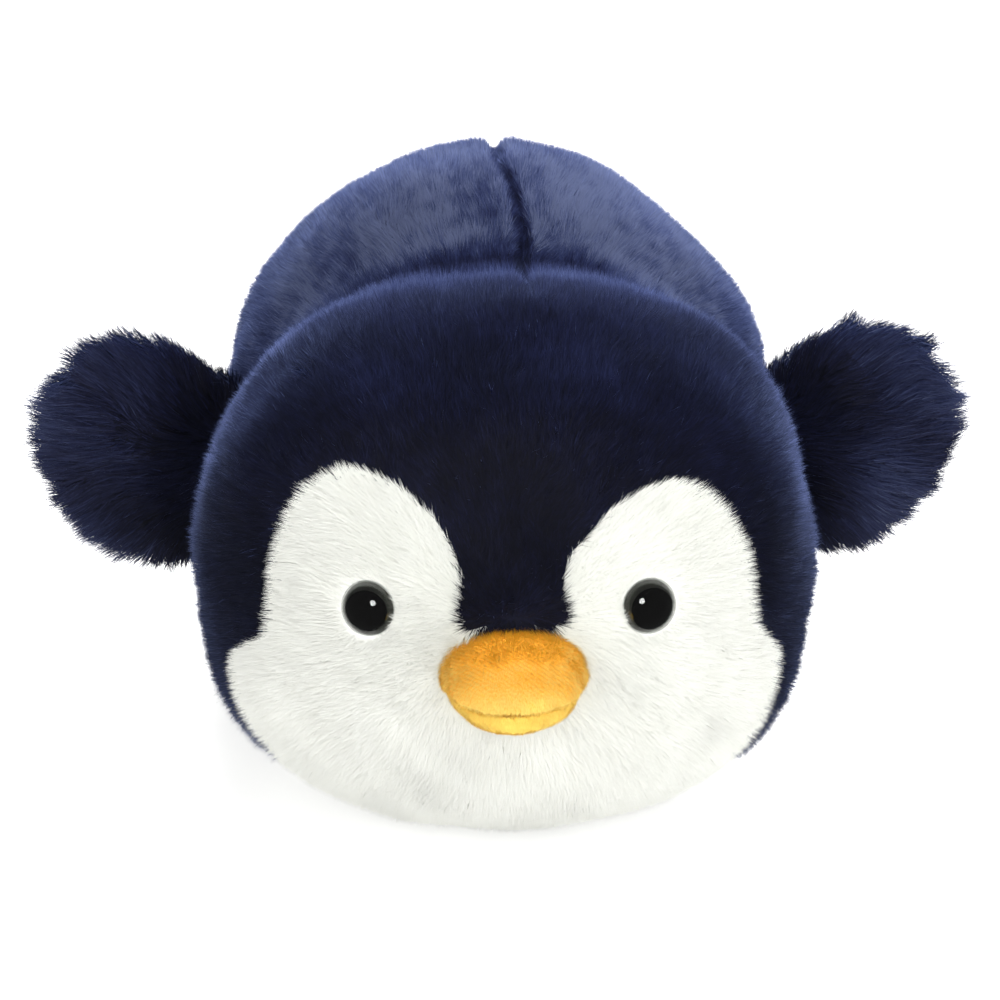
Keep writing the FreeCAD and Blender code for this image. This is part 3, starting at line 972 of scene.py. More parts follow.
        # Painted light and shade of the body's pile, given as lighter or darker shades of each finish.
        shine = self._painted_light_of_pile(outside, normals, rng)
        for number, panel in enumerate(Panel):
            finish = WHITE_PILE if panel in (Panel.FACE, Panel.BELLY) else NAVY_PILE
            halves = (("left", roots[:, 0] > 0), ("right", roots[:, 0] <= 0))
            if panel in (Panel.BACK_LEFT, Panel.BACK_RIGHT):
                ahead = roots[:, 1] < self.trunk.mid_y
                halves = (("front", ahead), ("rear", ~ahead))
            for side, half in halves:
                chosen = keep & (which == number) & half
                name = panel.value.replace("panel", "pile") + f"_{side}"
                kind = WHITE_BODY_PILE if finish is WHITE_PILE else NAVY_BODY_PILE
                pile = kind.grow(name, roots[chosen], normals[chosen], flow[chosen], scale[chosen],
                                 finish, seed=100 + number,
                                 shine=shine[chosen] + self.white_lift * (finish is WHITE_PILE))
                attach(pile, "body")
                log.info("%s: %d blades", name, int(chosen.sum()))
                made.append(pile)
        return made

    def _painted_light_of_pile(self, outside: np.ndarray, normals: np.ndarray, rng: np.random.Generator) -> np.ndarray:
        """Works out how light each fibre looks, as painted light and shade: lighter where the pile faces up,
        over the trunk, where the pile lies back, and on the rim of the crown, as though lit from above and
        behind, and darker in the sunken seams.

        Args:
            outside: Places on the outside of the pile.
            normals: Outward directions there.
            rng: Source of random numbers.

        Returns:
            Lightness from 0 to 1.
        """
        y = outside[:, 1]
        upward = smooth_step(normals[:, 2], -0.2, 0.9)
        trunk = smooth_step(y, self.neck_y - 1 * MM, self.neck_y + 8 * MM)
        rim = np.exp(-((y - self.neck_y + 12 * MM) / (11 * MM)) ** 2)
        patches = wobble(outside, 26 * MM, 81)[:, 0]
        fine = wobble(outside, 6 * MM, 82)[:, 0]
        # Painted light: lighter where the pile faces up, most over the trunk and on the rim of the crown.
        light = 0.12 + 0.07 * upward + trunk * (0.25 + 0.40 * upward) + 0.42 * rim * upward
        # Painted shade along the sunken seams.
        light -= 0.40 * np.exp(-(self.seam_distance(outside) / (1.6 * MM)) ** 2)
        return light + (0.05 + 0.06 * trunk) * (patches + fine) + rng.normal(0, 0.09, len(y))

    def _cut_panels(self) -> list[bpy.types.Object]:
        """Makes one thin backing piece for each sewn panel.

        Returns:
            The backing pieces, riding on the body.
        """
        mesh = self.skin.data
        points, out = points_of(self.skin), normals_of(self.skin)
        outside = points + out * self.pile_height
        centres = np.array([outside[list(p.vertices)].mean(axis=0) for p in mesh.polygons])
        which = self.panel_of(centres)
        made = []
        for number, panel in enumerate(Panel):
            chosen = [list(p.vertices) for p, w in zip(mesh.polygons, which) if w == number]
            white = panel in (Panel.FACE, Panel.BELLY)
            piece = cut_cloth(panel.value.replace("panel", "backing"), points, chosen,
                              WHITE_KNIT if white else NAVY_KNIT, 1.0 * MM)
            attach(piece, "body")
            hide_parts(panel.value)
            made.append(piece)
        return made

    def fill(self) -> bpy.types.Object:
        """Makes the fibre filling, a little inside the backing.

        Returns:
            The filling, riding on the body.
        """
        points, out = points_of(self.skin), normals_of(self.skin)
        faces = [list(p.vertices) for p in self.skin.data.polygons]
        piece = mesh_object("fibre_filling", points - out * 2.2 * MM, faces, [LooseFibre().material()])
        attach(piece, "body")
        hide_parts("body_fill")
        return piece


# ------------------------------------------------------------------ eyes
def lathe(name: str, profile: list[tuple[float, float]], spokes: int,
          materials: list[bpy.types.Material], zones: list[int] | None = None) -> bpy.types.Object:
    """Turns a profile of radius and height round the Z axis into a closed form.

    Args:
        name: Name of the piece.
        profile: Radius and height of each ring, from the lower middle to the upper middle.
        spokes: Steps round the axis.
        materials: Materials for the slots.
        zones: Slot of each band between two rings.

    Returns:
        The mesh object.
    """
    vertices, faces, slots = [], [], []
    angles = [2 * math.pi * i / spokes for i in range(spokes)]
    for radius, height in profile[1:-1]:
        vertices += [(radius * math.cos(a), radius * math.sin(a), height) for a in angles]
    low, high = len(vertices), len(vertices) + 1
    vertices += [(0, 0, profile[0][1]), (0, 0, profile[-1][1])]
    bands = len(profile) - 3
    zones = zones or [0] * (bands + 2)
    for i in range(spokes):
        j = (i + 1) % spokes
        faces.append((low, j, i))
        slots.append(zones[0])
        for band in range(bands):
            below, above = band * spokes, (band + 1) * spokes
            faces.append((below + i, below + j, above + j, above + i))
            slots.append(zones[band + 1])
        faces.append((high, bands * spokes + i, bands * spokes + j))
        slots.append(zones[-1])
    obj = mesh_object(name, np.array(vertices), faces, materials)
    obj.data.polygons.foreach_set("material_index", slots)
    return obj


@dataclass
class SafetyEye:
    """One moulded safety eye: a clear domed cap over a black plate with an enamelled ring and a shank."""

    side: str
    body: Bolster
    radius: float = 7.5 * MM
    dome: float = 5.8 * MM
    outward: float = 1.0 * MM
    pupil_shift: float = 1.1 * MM
    plate: float = 1.5 * MM
    pupil_share: float = 0.76
    core_share: float = 0.965
    sunk: float = 0.9 * MM
    centre: np.ndarray = field(init=False)
    axis: np.ndarray = field(init=False)

    def __post_init__(self) -> None:
        """Finds the eye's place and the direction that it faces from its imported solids."""
        cap_low, cap_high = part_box(f"eye_cap_{self.side}")
        washer_low, washer_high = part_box(f"eye_washer_{self.side}")
        cap = (np.array(cap_low) + np.array(cap_high)) / 2
        washer = (np.array(washer_low) + np.array(washer_high)) / 2
        self.axis = unit((cap - washer)[None, :])[0]
        self.centre = cap - self.axis * 1.0 * MM
        self.centre[0] += math.copysign(self.outward, cap[0]) + self.body.head.mid_x

    def off_axis(self, points: np.ndarray) -> tuple[np.ndarray, np.ndarray]:
        """Measures points against the eye's axis, in front of the washer only.

        Args:
            points: Places, one row each.

        Returns:
            Directions away from the axis, and distances from it.
        """
        offset = points - self.centre
        along = offset @ self.axis
        out = offset - along[:, None] * self.axis
        distance = np.linalg.norm(out, axis=1)
        distance = np.where(np.abs(along) < 20 * MM, distance, 1.0)
        return unit(out), distance

    def build(self) -> list[bpy.types.Object]:
        """Makes the cap and the plate with its shank.

        Returns:
            The two pieces, riding on the body.
        """
        quarter = np.linspace(0, math.pi / 2, 15)[:-1]
        rise = [(self.radius * math.cos(a), self.dome * math.sin(a)) for a in quarter]
        hollow = [(radius * self.core_share, height * self.core_share) for radius, height in reversed(rise)]
        outline = [(0, self.dome * self.core_share), *hollow, *rise, (0, self.dome)]
        cap = lathe(f"eye_dome_{self.side}", outline, 64, [ClearAcrylic().material()])
        core = self.core_share * 0.995
        pupil = self.radius * self.pupil_share
        steps = sorted({*np.linspace(0, self.radius, 12).tolist(), pupil}, reverse=True)
        front = [(radius * core, self.dome * core * math.sqrt(1 - (radius / self.radius) ** 2))
                 for radius in steps]
        shank, grip = 2.3 * MM, 2.6 * MM
        back = [(0, -13.5 * MM), (1.6 * MM, -13.5 * MM), (shank, -12.6 * MM)]
        back += [(grip if i % 2 else shank, -12 * MM + i * 1.1 * MM) for i in range(9)]
        back += [(shank, -self.plate), (self.radius * 0.97, -self.plate), (self.radius, -self.plate * 0.6),
                 (self.radius, -0.1 * MM)]
        profile = back + front
        zones = [0] * len(back)
        zones += [1 if radius > pupil * 1.001 else 2 for radius in steps[:-1]]
        plate = lathe(f"eye_plate_{self.side}", profile, 64,
                      [EYE_BLACK.material(), EYE_IRIS.material(), EYE_PUPIL.material()],
                      zones[:len(profile) - 1])
        turn = Vector((0, 0, 1)).rotation_difference(Vector(self.axis)).to_matrix().to_4x4()
        inward = turn.to_3x3().inverted() @ Vector((-math.copysign(1.0, self.centre[0]), 0, 0))
        points = points_of(plate)
        ahead = points[:, 2] > 0
        off = np.hypot(points[ahead, 0], points[ahead, 1]) / (self.radius * core)
        moved = points[ahead, :2] + np.array(inward)[:2] * self.pupil_shift * (1 - off[:, None] ** 2)
        share = np.clip(1 - (moved ** 2).sum(axis=1) / (self.radius * core) ** 2, 0, 1)
        points[ahead] = np.column_stack([moved, self.dome * core * np.sqrt(share)])
        set_points(plate, points)
        for piece in (cap, plate):
            piece.data.transform(turn)
            set_points(piece, points_of(piece) + self.centre - self.axis * self.sunk)
            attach(piece, "body")
        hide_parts(f"eye_cap_{self.side}")
        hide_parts(f"eye_base_{self.side}")
        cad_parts[f"eye_washer_{self.side}"].data.materials.clear()
        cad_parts[f"eye_washer_{self.side}"].data.materials.append(WASHER_NYLON.material())
        log.info("eye_%s at %s", self.side, np.round(self.centre / MM, 1))
        return [cap, plate]


# ------------------------------------------------------------------ small stuffed forms
@dataclass(frozen=True)
class Pad:
    """A stuffed pad: a rounded form with its own size in each of six directions."""

    centre: tuple[float, float, float]
    low: tuple[float, float, float]
    high: tuple[float, float, float]
    squareness: float = 2.2
    rings: int = 36
    spokes: int = 56

    def mesh(self, name: str, materials: list[bpy.types.Material]) -> bpy.types.Object:
        """Makes the closed form, with its poles on the Y axis.

        Args:
            name: Name of the piece.
            materials: Materials for the slots.

        Returns:
            The mesh object.
        """
        turn = np.linspace(0, math.pi, self.rings + 2)[1:-1]
        angle = np.linspace(0, 2 * math.pi, self.spokes, endpoint=False)
        grid_turn, grid_angle = np.meshgrid(turn, angle, indexing="ij")
        ball = np.stack([
            np.sin(grid_turn) * np.cos(grid_angle), -np.cos(grid_turn),
            np.sin(grid_turn) * np.sin(grid_angle),
        ], axis=-1).reshape(-1, 3)
        ball = np.vstack([ball, [[0, -1, 0], [0, 1, 0]]])
        size = (np.abs(ball) ** self.squareness).sum(axis=1) ** (-1 / self.squareness)
        ball *= size[:, None]
        reach = np.where(ball < 0, np.array(self.low), np.array(self.high))
        vertices = ball * reach + np.array(self.centre)
        return mesh_object(name, vertices, closed_tube(self.rings, self.spokes), materials)


def pad_filling(skin: bpy.types.Object, name: str, node: str, body: str, inset: float) -> bpy.types.Object:
    """Makes the fibre filling of a pad from its skin.

    Args:
        skin: Closed skin of the pad.
        name: Name of the piece.
        node: CAD node that it stands for.
        body: CAD body that it rides on.
        inset: How far inside the skin it ends.

    Returns:
        The filling.
    """
    points, out = points_of(skin), normals_of(skin)
    faces = [list(p.vertices) for p in skin.data.polygons]
    piece = mesh_object(name, points - out * inset, faces, [LooseFibre().material()])
    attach(piece, body)
    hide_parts(node)
    return piece


@dataclass
class Beak:
    """The padded beak: a broad upper part that overhangs a small, paler lower part."""

    mouth_drop: float = 0.6 * MM
    rib: float = 0.16 * MM

    def build(self) -> list[bpy.types.Object]:
        """Makes both parts with their short pile and filling.

        Returns:
            The pieces, riding on the body.
        """
        top_low, top_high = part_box("beak_upper")
        under_low, under_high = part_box("beak_lower")
        root_y = top_high.y + 5 * MM
        mouth = top_low.z + 2.4 * MM
        upper = Pad(
            centre=(0, root_y, mouth + 3.0 * MM),
            low=(top_high.x + 1.2 * MM, root_y - top_low.y, 3.0 * MM + self.mouth_drop),
            high=(top_high.x + 1.2 * MM, 8 * MM, top_high.z - mouth - 3.0 * MM),
            squareness=2.25,
        )
        lower = Pad(
            centre=(0, root_y, mouth + 1.0 * MM),
            low=(under_high.x + 0.8 * MM, root_y - under_low.y + 0.6 * MM, mouth + 1.0 * MM - under_low.z),
            high=(under_high.x + 0.8 * MM, 8 * MM, 2.5 * MM),
            squareness=2.1,
        )
        made = []
        parts = (("beak_upper", upper, ORANGE_KNIT, ORANGE_PILE, "orange_velour", 31),
                 ("beak_lower", lower, PALE_ORANGE_KNIT, PALE_ORANGE_PILE, "pale_orange_velour", 32))
        for node, pad, knit, finish, slot, seed in parts:
            skin = pad.mesh(f"{node}_skin", [knit.material()])
            inflate(skin, cap=0.8 * MM)
            points = points_of(skin)
            set_points(skin, points - normals_of(skin) * 0.9 * MM + wobble(points, 9 * MM, seed) * 0.25 * MM)
            rng = np.random.default_rng(seed)
            roots, normals = sample(skin, VELBOA.density, rng)
            shown = roots[:, 1] < root_y + 2 * MM
            flow = np.tile(np.array([[0.0, -0.6, -0.8]]), (len(roots), 1))
            round_x = np.arctan2(roots[:, 2] - pad.centre[2], root_y - roots[:, 1]) * (root_y - top_low.y)
            ribs = np.sin(round_x / self.rib + 1.2 * wobble(roots, 4 * MM, seed + 1)[:, 0])
            shine = 0.5 + 0.17 * ribs + rng.normal(0, 0.18, len(roots))
            pile = VELBOA.grow(f"{node}_pile", roots[shown], normals[shown], flow[shown],
                               np.ones(int(shown.sum())), finish, seed, shine=shine[shown])
            for piece in (skin, pile):
                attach(piece, "body")
            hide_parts(node)
            made += [skin, pile]
            if node == "beak_upper":
                made.append(pad_filling(skin, "beak_filling", "beak_fill", "body", 1.2 * MM))
        return made


@dataclass
class Flipper:
    """One flipper: two long-pile panels round a thin filling, sewn into the neck seam by its root."""

    side: str
    neck_y: float
    root_out: float = 74.5 * MM
    pad_out: float = 124.0 * MM
    root_half: float = 20.0 * MM
    broad_half: float = 26.5 * MM
    thick: float = 6.5 * MM
    rise: float = 0.16
    stations: int = 34
    spokes: int = 52

    @property
    def sign(self) -> float:
        """Returns 1 on the penguin's left and -1 on its right."""
        return 1.0 if self.side == "left" else -1.0

    def build(self) -> list[bpy.types.Object]:
        """Makes the skin, pile and filling.

        Returns:
            The pieces.
        """
        low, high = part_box(f"flipper_front_{self.side}")
        middle_z = (low.z + high.z) / 2
        share = np.linspace(0, 1, self.stations)
        out = self.root_out + (self.pad_out - self.root_out) * np.sin(share * math.pi / 2)
        reach = (out - self.root_out) / (self.pad_out - self.root_out)
        swell = self.root_half + (self.broad_half - self.root_half) * smooth_step(reach, 0.0, 0.5)
        close = np.sqrt(np.clip(1 - np.clip((reach - 0.45) / 0.55, 0, 1) ** 2.2, 0, 1))
        half = swell * close
        thick = (2.4 * MM + (self.thick - 2.4 * MM) * smooth_step(reach, 0.0, 0.45)) * close
        angle = np.linspace(0, 2 * math.pi, self.spokes, endpoint=False)
        vertices, faces = [], []
        for x, tall, deep in zip(out[:-1], half[:-1], thick[:-1]):
            rise = (x - self.root_out) * self.rise
            for a in angle:
                vertices.append((self.sign * x, self.neck_y + deep * math.cos(a),
                                 middle_z + rise + tall * math.sin(a)))
        count = self.stations - 1
        for station in range(count - 1):
            for spoke in range(self.spokes):
                after = (spoke + 1) % self.spokes
                a, b = station * self.spokes, (station + 1) * self.spokes
                face = (a + spoke, a + after, b + after, b + spoke)
                faces.append(face if self.sign < 0 else face[::-1])
        tip = len(vertices)
        tip_z = middle_z + (self.pad_out - self.root_out) * self.rise
        vertices.append((self.sign * self.pad_out, self.neck_y, tip_z))
        vertices.append((self.sign * self.root_out, self.neck_y, middle_z))
        last = (count - 1) * self.spokes
        for spoke in range(self.spokes):
            after = (spoke + 1) % self.spokes
            end = (last + spoke, last + after, tip)
            root = (after, spoke, tip + 1)
            faces.append(end if self.sign < 0 else end[::-1])
            faces.append(root if self.sign < 0 else root[::-1])
        skin = mesh_object(f"flipper_skin_{self.side}", np.array(vertices), faces, [NAVY_KNIT.material()])
        inflate(skin, cap=2.0 * MM)
        filling = self._filling(skin)
        piles = self._pile(skin, middle_z)
        fronts = self._split(skin)
        log.info("flipper_%s built", self.side)
        return [*fronts, *piles, filling]

    def _joint_blend(self, piece: bpy.types.Object) -> None:
        """Bakes a piece's placement into its mesh."""
        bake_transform(piece)

    def _filling(self, skin: bpy.types.Object) -> bpy.types.Object:
        """Makes the thin filling inside the skin.

        Args:
            skin: Closed skin of the flipper.

        Returns:
            The filling.
        """
        points, out = points_of(skin), normals_of(skin)
        faces = [list(p.vertices) for p in skin.data.polygons]
        piece = mesh_object(f"flipper_filling_{self.side}", points - out * 1.4 * MM, faces,
                            [LooseFibre().material()])
        self._joint_blend(piece)
        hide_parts(f"flipper_fill_{self.side}")
        return piece

    def _split(self, skin: bpy.types.Object) -> list[bpy.types.Object]:
        """Cuts the skin along its rim into the front and the back panel.

        Args:
            skin: Closed skin of the flipper, which is used up.

        Returns:
            The two backing pieces.
        """
        points = points_of(skin)
        made = []
        for part in ("front", "back"):
            chosen = []
            for polygon in skin.data.polygons:
                middle = points[list(polygon.vertices)][:, 1].mean()
                if (middle < self.neck_y) == (part == "front"):
                    chosen.append(list(polygon.vertices))
            piece = cut_cloth(f"flipper_{part}_backing_{self.side}", points, chosen, NAVY_KNIT, 0.9 * MM)
            self._joint_blend(piece)
            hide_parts(f"flipper_{part}_{self.side}")
            made.append(piece)
        bpy.data.objects.remove(skin)
        return made

    def _pile(self, skin: bpy.types.Object, middle_z: float) -> list[bpy.types.Object]:
        """Grows the long pile, which sweeps out from the root and hangs over the rim in locks.

        Args:
            skin: Closed skin of the flipper.
            middle_z: Height of the flipper's middle line.

        Returns:
            The pile of the front and of the back panel.
        """
        rng = np.random.default_rng(41 if self.sign > 0 else 42)
        roots, normals = sample(skin, FLIPPER_PILE.density, rng)
        shown = np.abs(roots[:, 0]) > self.root_out + 1.5 * MM
        roots, normals = roots[shown], normals[shown]
        hub = np.array([self.sign * (self.root_out - 2 * MM), self.neck_y, middle_z])
        flow = unit((roots - hub) * np.array([1.0, 0.3, 1.0]))
        rim = np.clip(np.abs(normals[:, 1:2]), 0, 1)[:, 0]
        reach = (np.abs(roots[:, 0]) - self.root_out) / (self.pad_out - self.root_out)
        scale = 0.62 + 0.42 * smooth_step(reach, 0.0, 0.6)
        patches = wobble(roots, 16 * MM, 83)[:, 0]
        # Painted shade and light: darker near the root at the body, lighter towards the outer end and round
        # the edge, with random patches.
        shine = 0.14 + 0.42 * smooth_step(reach, 0.1, 0.9) + 0.16 * (1 - rim) + 0.10 * patches
        shine = shine + rng.normal(0, 0.10, len(roots))
        made = []
        for part, chosen in (("front", roots[:, 1] < self.neck_y), ("back", roots[:, 1] >= self.neck_y)):
            piece = FLIPPER_PILE.grow(f"flipper_{part}_pile_{self.side}", roots[chosen], normals[chosen],
                                      flow[chosen], scale[chosen], NAVY_PILE, seed=43 + (part == "back"),
                                      shine=shine[chosen])
            self._joint_blend(piece)
            made.append(piece)
            log.info("%s: %d blades", piece.name, int(chosen.sum()))
        return made


@dataclass
class SewnPad:
    """A small stuffed flap sewn into a seam of the rump: a foot or the tail."""

    name: str
    body: str
    nodes: tuple[str, str]
    fill_node: str
    knit: KnitBacking
    finish: PileFinish
    pile: Pile
    slot: str
    root: Vector
    droop: float
    seed: int
    skin_inset: float

    def build(self) -> list[bpy.types.Object]:
        """Makes the upper and under panels, the pile and the filling.

        Returns:
            The pieces.
        """
        boxes = [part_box(n) for n in self.nodes]
        low = np.minimum(np.array(boxes[0][0]), np.array(boxes[1][0]))
        high = np.maximum(np.array(boxes[0][1]), np.array(boxes[1][1]))
        middle = (low + high) / 2
        tilt = math.radians(self.droop)
        length = (high[1] - self.root.y) / math.cos(tilt)
        across = (high[0] - low[0]) / 2
        flat = (high[2] - low[2] - (high[1] - low[1]) * abs(math.sin(tilt)) * 0.8) / 2
        pad = Pad(centre=(0, length * 0.58, 0), low=(across, length * 0.58, flat),
                  high=(across, length * 0.42, flat), squareness=2.1)
        skin = pad.mesh(f"{self.name}_skin", [self.knit.material()])
        points = points_of(skin) - normals_of(skin) * self.skin_inset
        toe = points[:, 1] / length
        points[:, 0] *= 0.78 + 0.3 * np.clip(toe, 0, 1)
        set_points(skin, points)
        inflate(skin, cap=1.2 * MM)
        points = points_of(skin)
        turned = np.stack([
            points[:, 0],
            points[:, 1] * math.cos(tilt) + points[:, 2] * math.sin(tilt),
            points[:, 2] * math.cos(tilt) - points[:, 1] * math.sin(tilt),
        ], axis=1)
        set_points(skin, turned + np.array([middle[0], self.root.y, self.root.z]))
        rng = np.random.default_rng(self.seed)
        roots, normals = sample(skin, self.pile.density, rng)
        flow = np.tile(np.array([[0.0, 1.0, -0.15]]), (len(roots), 1)) + (roots - middle) * 12
        pile = self.pile.grow(f"{self.name}_pile", roots, normals, flow, np.ones(len(roots)),
                              self.finish, self.seed)
        points, out = points_of(skin), normals_of(skin)
        faces = [list(p.vertices) for p in skin.data.polygons]
        filling = mesh_object(f"{self.name}_filling", points - out * 1.2 * MM, faces,
                              [LooseFibre().material()])
        line = points[:, 2] + (points[:, 1] - self.root.y) * math.tan(tilt) - self.root.z
        made = [pile, filling]
        for part, node, upper in (("upper", self.nodes[0], True), ("under", self.nodes[1], False)):
            chosen = [f for f in faces if (line[f].mean() > 0) == upper]
            piece = cut_cloth(f"{self.name}_{part}_backing", points, chosen, self.knit, 0.8 * MM)
            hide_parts(node)
            made.append(piece)
        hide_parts(self.fill_node)
        for piece in made:
            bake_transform(piece)
        bpy.data.objects.remove(skin)
        log.info("%s: %d blades", self.name, len(roots))
        return made


@dataclass
class PelletPouch:
    """The weighted pouch in the belly: a sewn cloth bag of loose plastic pellets."""

    pellet: float = 1.7 * MM
    count: int = 900

    def build(self) -> list[bpy.types.Object]:
        """Makes the bag and the pellets inside it.

        Returns:
            The two pieces, riding on the body.
        """
        low, high = (np.array(corner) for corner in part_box("pouch_bag"))
        middle, half = (low + high) / 2, (high - low) / 2
        pad = Pad(centre=tuple(middle), low=tuple(half * 0.98), high=tuple(half * 0.98), squareness=2.6)
        bag = pad.mesh("pellet_pouch_bag", [POUCH_CLOTH.material()])
        points = points_of(bag)
        set_points(bag, points + wobble(points, 18 * MM, 51) * 0.8 * MM)
        rng = np.random.default_rng(52)
        places = []
        while len(places) < self.count:
            spot = rng.uniform(-0.86, 0.86, 3)
            if (np.abs(spot) ** 2.3).sum() < 0.62:
                places.append(middle + spot * half)
        build = bmesh.new()
        bmesh.ops.create_icosphere(build, subdivisions=1, radius=1.0)
        ball = np.array([v.co for v in build.verts])
        sides = np.array([[v.index for v in f.verts] for f in build.faces])
        build.free()
        sizes = self.pellet * rng.uniform(0.85, 1.1, (self.count, 1, 1)) * np.array([1.0, 1.0, 0.8])
        vertices = (np.array(places)[:, None, :] + ball[None] * sizes).reshape(-1, 3)
        faces = (sides[None] + (np.arange(self.count) * len(ball))[:, None, None]).reshape(-1, 3)
        pellets = mesh_object("pouch_pellet_load", vertices, faces, [PELLET_PLASTIC.material()])
        for piece, node, slot in ((bag, "pouch_bag", "pouch_cloth"), (pellets, "pouch_pellets", "pellets")):
            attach(piece, "body")
            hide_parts(node)
        return [bag, pellets]


@dataclass
class RearSeam:
    """What the rear seam holds: the blank ribbon label and the ladder stitches that close it."""

    body: Bolster

    def build(self) -> list[bpy.types.Object]:
        """Makes the label and the stitches.

        Returns:
            The two pieces, riding on the body.
        """
        return [self._label(), self._stitches()]

    def _label(self) -> bpy.types.Object:
        """Makes a folded loop of ribbon.

        Returns:
            The label.
        """
        low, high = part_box("care_label")
        drop, gap = high.y - low.y + 3 * MM, 1.1 * MM
        line = [(-3 * MM + drop * t, gap / 2 * math.sin(math.pi * min(1, t * 1.3)) + 0.15 * MM)
                for t in np.linspace(0, 1, 10)]
        line += [(y, -z) for y, z in reversed(line[:-1])]
        vertices, faces = [], []
        steps = 8
        for along, lift in line:
            for step in range(steps + 1):
                x = low.x + (high.x - low.x) * step / steps
                sag = -0.22 * max(0.0, along) + 0.5 * MM * math.sin(step / steps * math.pi)
                vertices.append((x, low.y + along, high.z + lift + sag))
        for row in range(len(line) - 1):
            for step in range(steps):
                a = row * (steps + 1) + step
                faces.append((a, a + 1, a + steps + 2, a + steps + 1))
        piece = mesh_object("blank_label", np.array(vertices), faces, [RIBBON.material()])
        thick = piece.modifiers.new("ribbon_thickness", "SOLIDIFY")
        thick.thickness = 0.2 * MM
        apply_modifiers(piece)
        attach(piece, "body")
        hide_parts("care_label")
        return piece

    def _stitches(self) -> bpy.types.Object:
        """Makes slanted ladder stitches as one curve.

        Returns:
            The stitches.
        """
        low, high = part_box("closing_stitches")
        curve = bpy.data.curves.new("ladder_stitches", "CURVE")
        curve.dimensions = "3D"
        curve.bevel_depth = 0.35 * MM
        curve.bevel_resolution = 3
        count = 7
        for number in range(count):
            x = low.x + (high.x - low.x) * number / (count - 1)
            spline = curve.splines.new("BEZIER")
            spline.bezier_points.add(1)
            ends = ((-1.2, low.z, low.y), (1.2, high.z, high.y))
            for point, (shift, z, y) in zip(spline.bezier_points, ends):
                point.co = (x + shift * MM, y - 1.5 * MM, z)
                point.handle_left_type = point.handle_right_type = "AUTO"
        curve.materials.append(THREAD.material())
        piece = bpy.data.objects.new("ladder_stitches", curve)
        bpy.context.scene.collection.objects.link(piece)
        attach(piece, "body")
        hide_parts("closing_stitches")
        return piece


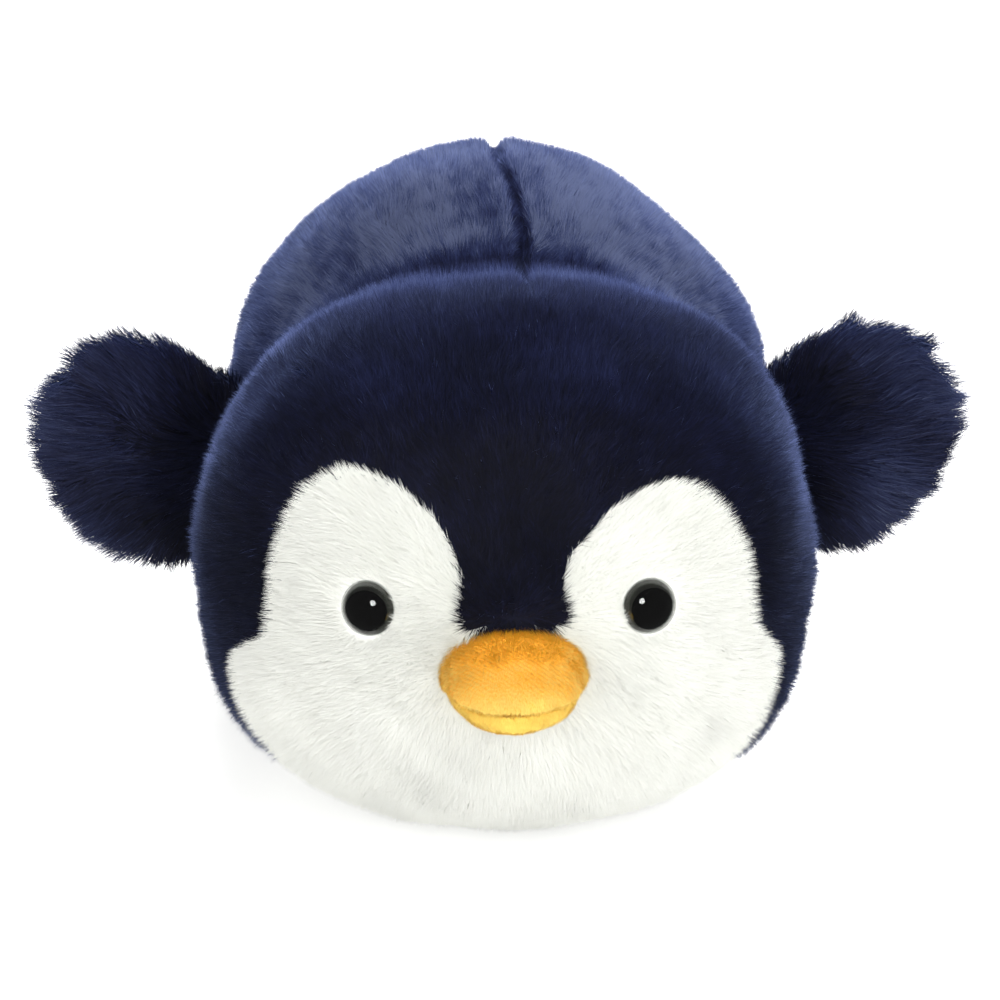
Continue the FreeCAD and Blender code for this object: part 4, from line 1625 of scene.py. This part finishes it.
# ------------------------------------------------------------------ studio
@dataclass
class Studio:
    """Plain pale floor, soft lights and the camera."""

    azimuth: float = -1.2
    elevation: float = 23.76
    distance: float = 0.7799
    lens: float = 101.7
    aim: tuple[float, float, float] = (-0.0018, -0.0420, 0.0869)

    def build(self) -> None:
        """Sets up the floor, the lights, the surroundings and the camera."""
        scene = bpy.context.scene
        scene.view_settings.view_transform = "Standard"
        turn, lift = math.radians(self.azimuth), math.radians(self.elevation)
        back = Vector((math.sin(turn) * math.cos(lift), -math.cos(turn) * math.cos(lift), math.sin(lift)))
        camera = bpy.data.objects.new("camera", bpy.data.cameras.new("camera"))
        camera.data.lens = self.lens
        camera.data.sensor_width = 36.0
        camera.location = Vector(self.aim) + back * self.distance
        camera.rotation_euler = (-back).to_track_quat("-Z", "Y").to_euler()
        camera.data.clip_start = 0.01
        scene.collection.objects.link(camera)
        scene.camera = camera
        self._floor()
        self._light("key", (0.70, -1.10, 0.80), 0.9, 7.6)
        self._light("fill", (-0.80, -1.00, 0.80), 0.9, 3.4)
        self._light("front", (-0.12, -1.25, 0.72), 0.45, 5.0, mirrored=True)
        self._light("overhead", (0.10, -0.05, 1.45), 1.0, 7.5)
        self._light("back", (0.30, 1.00, 1.10), 1.0, 38.0)
        world = bpy.data.worlds.new("studio")
        scene.world = world
        world.use_nodes = True
        ground = world.node_tree.nodes["Background"]
        path = add_node(world.node_tree, "ShaderNodeLightPath")
        soft = add_node(world.node_tree, "ShaderNodeMix", inputs={"A": 0.10, "B": 0.34},
                        links={"Factor": path.outputs["Is Diffuse Ray"]})
        strength = add_node(world.node_tree, "ShaderNodeMix", inputs={"B": 1.0},
                            links={"Factor": path.outputs["Is Camera Ray"], "A": soft.outputs["Result"]})
        ground.inputs["Color"].default_value = (1.0, 1.0, 1.0, 1.0)
        world.node_tree.links.new(strength.outputs["Result"], ground.inputs["Strength"])

    @staticmethod
    def _light(name: str, place: tuple[float, float, float], size: float, power: float,
               mirrored: bool = False) -> None:
        """Adds one soft round light that points at the toy.

        Args:
            name: Name of the light.
            place: Where it hangs.
            size: Diameter.
            power: Power in watts.
            mirrored: Whether the eyes mirror it.
        """
        data = bpy.data.lights.new(name, "AREA")
        data.shape = "DISK"
        data.size = size
        data.energy = power
        light = bpy.data.objects.new(name, data)
        light.location = place
        light.visible_glossy = light.visible_transmission = mirrored
        light.rotation_euler = (Vector((0, 0, 0.07)) - Vector(place)).to_track_quat("-Z", "Y").to_euler()
        bpy.context.scene.collection.objects.link(light)

    @staticmethod
    def _floor() -> None:
        """Adds the pale floor."""
        half = 6.0
        corners = np.array([(-half, -half, 0), (half, -half, 0), (half, half, 0), (-half, half, 0)])
        material, _, shader = new_material("pale_floor")
        shader.inputs["Base Color"].default_value = (0.95, 0.95, 0.95, 1.0)
        shader.inputs["Roughness"].default_value = 0.9
        shader.inputs["Specular IOR Level"].default_value = 0.0
        shader.inputs["Emission Color"].default_value = (1.0, 1.0, 1.0, 1.0)
        shader.inputs["Emission Strength"].default_value = 0.45
        floor = mesh_object("floor", corners, [(0, 1, 2, 3)], [material], closed=False)
        floor.visible_glossy = floor.visible_transmission = False


def main() -> None:
    """Builds every sub-assembly in order."""
    logging.basicConfig(level=logging.INFO, format="%(name)s: %(message)s")
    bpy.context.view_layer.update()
    Studio().build()
    body = Bolster()
    body.build_skin()
    eyes = [SafetyEye(side, body) for side in ("left", "right")]
    for eye in eyes:
        eye.build()
    body.dress(eyes)
    body.fill()
    bpy.data.objects.remove(body.skin)
    Beak().build()
    Flipper("left", neck_y=body.flipper_y, rise=0.25, root_out=70.0 * MM, pad_out=121.5 * MM).build()
    Flipper("right", neck_y=body.flipper_y).build()
    for side, sign in (("left", 1), ("right", -1)):
        upper, sole = f"foot_upper_{side}", f"foot_sole_{side}"
        SewnPad(f"foot_{side}", f"foot_{side}", (upper, sole), f"foot_fill_{side}", ORANGE_KNIT, ORANGE_PILE,
                VELBOA, "orange_velour", Vector((sign * 34 * MM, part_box(upper)[0].y - 8 * MM, 21 * MM)),
                droop=16.0, seed=61 + (sign > 0), skin_inset=1.2 * MM).build()
    SewnPad("tail", "tail", ("tail_upper", "tail_lower"), "tail_fill", NAVY_KNIT, NAVY_PILE, TAIL_PILE,
            "navy_plush", Vector((0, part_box("tail_lower")[0].y - 6 * MM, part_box("tail_upper")[0].z)),
            droop=0.0, seed=71, skin_inset=3.0 * MM).build()
    PelletPouch().build()
    RearSeam(body).build()


if __name__ == "__main__":
    main()
